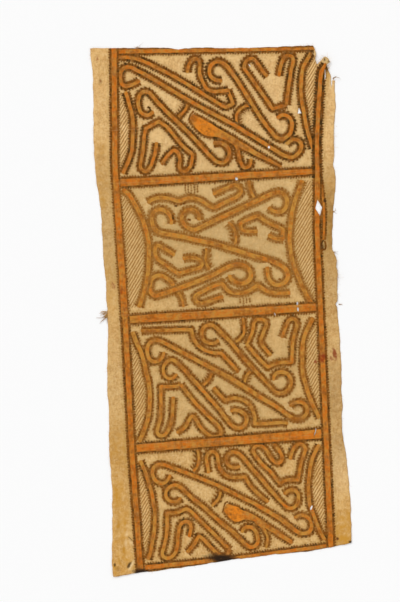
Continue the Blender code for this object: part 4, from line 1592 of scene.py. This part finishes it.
def painted_shade_and_stains(net, at, surface):
    """The painted surface with painted shade along the folds' crests and round its rim, and its red and dark
    stains.
    """
    # Painted shade: a thin line of deep bark colour along each fold's crest
    painted_crease_shade = abs(at.fold + 0.6 * at.waver[2]).under(0.35, 0.9) * (0.35 + 0.3 * at.patch[1]).clamped()
    surface = net.mixed(painted_crease_shade, surface, BARK_DEEP)
    # Painted shade: the painted side darkens towards deep bark colour within a millimetre or two of its rim
    edge = at.rim.under(1.4 + 0.8 * at.jitter[0], 1.6) * at.side
    surface = net.mixed(edge * 0.3, surface, BARK_DEEP)
    red = (at.red + 0.3 * at.patch[0] + 0.2 * at.jitter[0]).over(0.55, 0.5) * at.red.over(0.15, 0.2)
    surface = net.mixed(red * 0.85, surface, RED_STAIN)
    dark = (at.dark + 0.25 * at.patch[0] + 0.2 * at.jitter[0]).over(0.55, 0.4) * at.dark.over(0.15, 0.2)
    return net.mixed(dark * at.dark, surface, DARK_STAIN)


def relief(net, at, paint):
    """The surface's slopes: fibres stand up, beater grooves run across, paint lies a little proud."""
    groove = net.noises(at.x / 9.0, at.y, 2.1)[1]
    raised = 0.5 * at.fibre[0] + 0.35 * at.cross + 0.3 * groove + 0.6 * at.jitter[2] + 1.0 * at.patch[1]
    bump = net.node("Bump")
    bump.inputs["Strength"].default_value = 1.0
    bump.inputs["Distance"].default_value = RELIEF * MM
    net.feed(bump.inputs["Height"], raised + 0.35 * paint.ochre + 0.25 * paint.dark)
    return Number(net, bump.outputs["Normal"])


def painted_bark():
    """Beaten bark fibre with its painting, which it reads from the mesh, its stains and wear, and painted
    shade along its folds and rim.
    """
    material = bpy.data.materials.new("painted_bark")
    net = Net(material)
    at = this_place(net)
    paint = Paint(*[net.math("ADD", 0.0, 0.0)] * len(Paint._fields))
    for slot in range(SLOTS):
        paint = painted_over(net, at, slot, paint)
    covered = paint.ochre.most(paint.dark).most(paint.teeth)
    bled = paint.bleed * (BLEED + 0.1 * at.patch[1]) * at.side
    bark = net.mixed(bled.clamped(), bare_bark(net, at), BARK_BLED)

    # The pigments lie over the bark, thin on the high fibres and where the folds have rubbed
    rubbed = abs(at.fold + 0.8 * at.waver[2]).under(0.8, 1.6) * (0.55 + 0.5 * at.patch[0]).clamped()
    ochre_colour, ochre_hold = ochre(net, at, paint, rubbed)
    line_colour, line_hold = dark_lines(net, at, paint, rubbed)
    pigment = net.mixed(paint.ochre, line_colour, ochre_colour)
    cover = covered.most(hatching(at, 1.0 - covered) * 0.9)
    cover = cover * net.between(paint.ochre, line_hold, ochre_hold) * (0.07 + 0.93 * at.side)
    # Painted shade along the fold crests and the rim goes over the surface, then the real stains
    surface = painted_shade_and_stains(net, at, net.mixed(cover.clamped(), bark, pigment))
    rough = 0.95 - 0.08 * paint.dark - 0.04 * paint.ochre + 0.03 * at.fibre[0]
    net.finish(surface, rough.clamped(), 0.12, relief(net, at, paint))
    return material


# Stage


def make_floor(collection):
    """A plain pale floor, just under the cloth."""
    bm = bmesh.new()
    bmesh.ops.create_grid(bm, x_segments=1, y_segments=1, size=FLOOR_HALF)
    mesh = bpy.data.meshes.new("floor")
    bm.to_mesh(mesh)
    bm.free()
    floor = bpy.data.objects.new("floor", mesh)
    floor.location.z = -FLOOR_GAP
    collection.objects.link(floor)
    material = bpy.data.materials.new("floor")
    Net(material).finish((FLOOR_WHITE, FLOOR_WHITE, FLOOR_WHITE, 1), 1.0, 0.0)
    mesh.materials.append(material)


def make_lights(collection):
    """Even light from all round, and a soft lamp from the upper left that shows the relief."""
    world = bpy.data.worlds.new("studio")
    world.use_nodes = True
    background = world.node_tree.nodes["Background"]
    background.inputs["Color"].default_value = (1, 1, 1, 1)
    background.inputs["Strength"].default_value = WORLD_LIGHT
    bpy.context.scene.world = world
    for lamp in LAMPS:
        data = bpy.data.lights.new(lamp.name, "SUN")
        data.angle = radians(lamp.spread)
        data.energy = lamp.strength
        light = bpy.data.objects.new(lamp.name, data)
        light.rotation_euler = (0, radians(90 - lamp.elevation), radians(lamp.azimuth))
        collection.objects.link(light)


def make_camera(collection):
    """The camera straight above, turned as the photo is."""
    data = bpy.data.cameras.new("camera")
    data.sensor_fit = "VERTICAL"
    data.sensor_height = SENSOR
    data.lens = LENS
    camera = bpy.data.objects.new("camera", data)
    camera.location = (VIEW_MIDDLE[0], VIEW_MIDDLE[1], VIEW_HEIGHT * LENS / SENSOR)
    camera.rotation_euler = (0, 0, -CHART_TURN)
    collection.objects.link(camera)
    bpy.context.scene.camera = camera


def build():
    scene = bpy.context.scene
    scene.view_settings.view_transform = "Standard"
    collection = bpy.data.collections.new("painted_cloth")
    scene.collection.children.link(collection)
    make_camera(collection)
    make_lights(collection)
    make_floor(collection)
    loops = [loop / MM + CENTRE for loop in rim_loops(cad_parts[NODE])]
    loops = [frayed(loop) for loop in [*loops, *(slit_loop(slit) for slit in SLITS)]]
    sheet = bark_sheet(loops, all_runs(), collection)
    fibres = edge_fibres(loops, collection)
    material = painted_bark()
    for piece in (sheet, fibres):
        piece.data.materials.append(material)
        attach(piece, "root")
    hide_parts(NODE)


build()
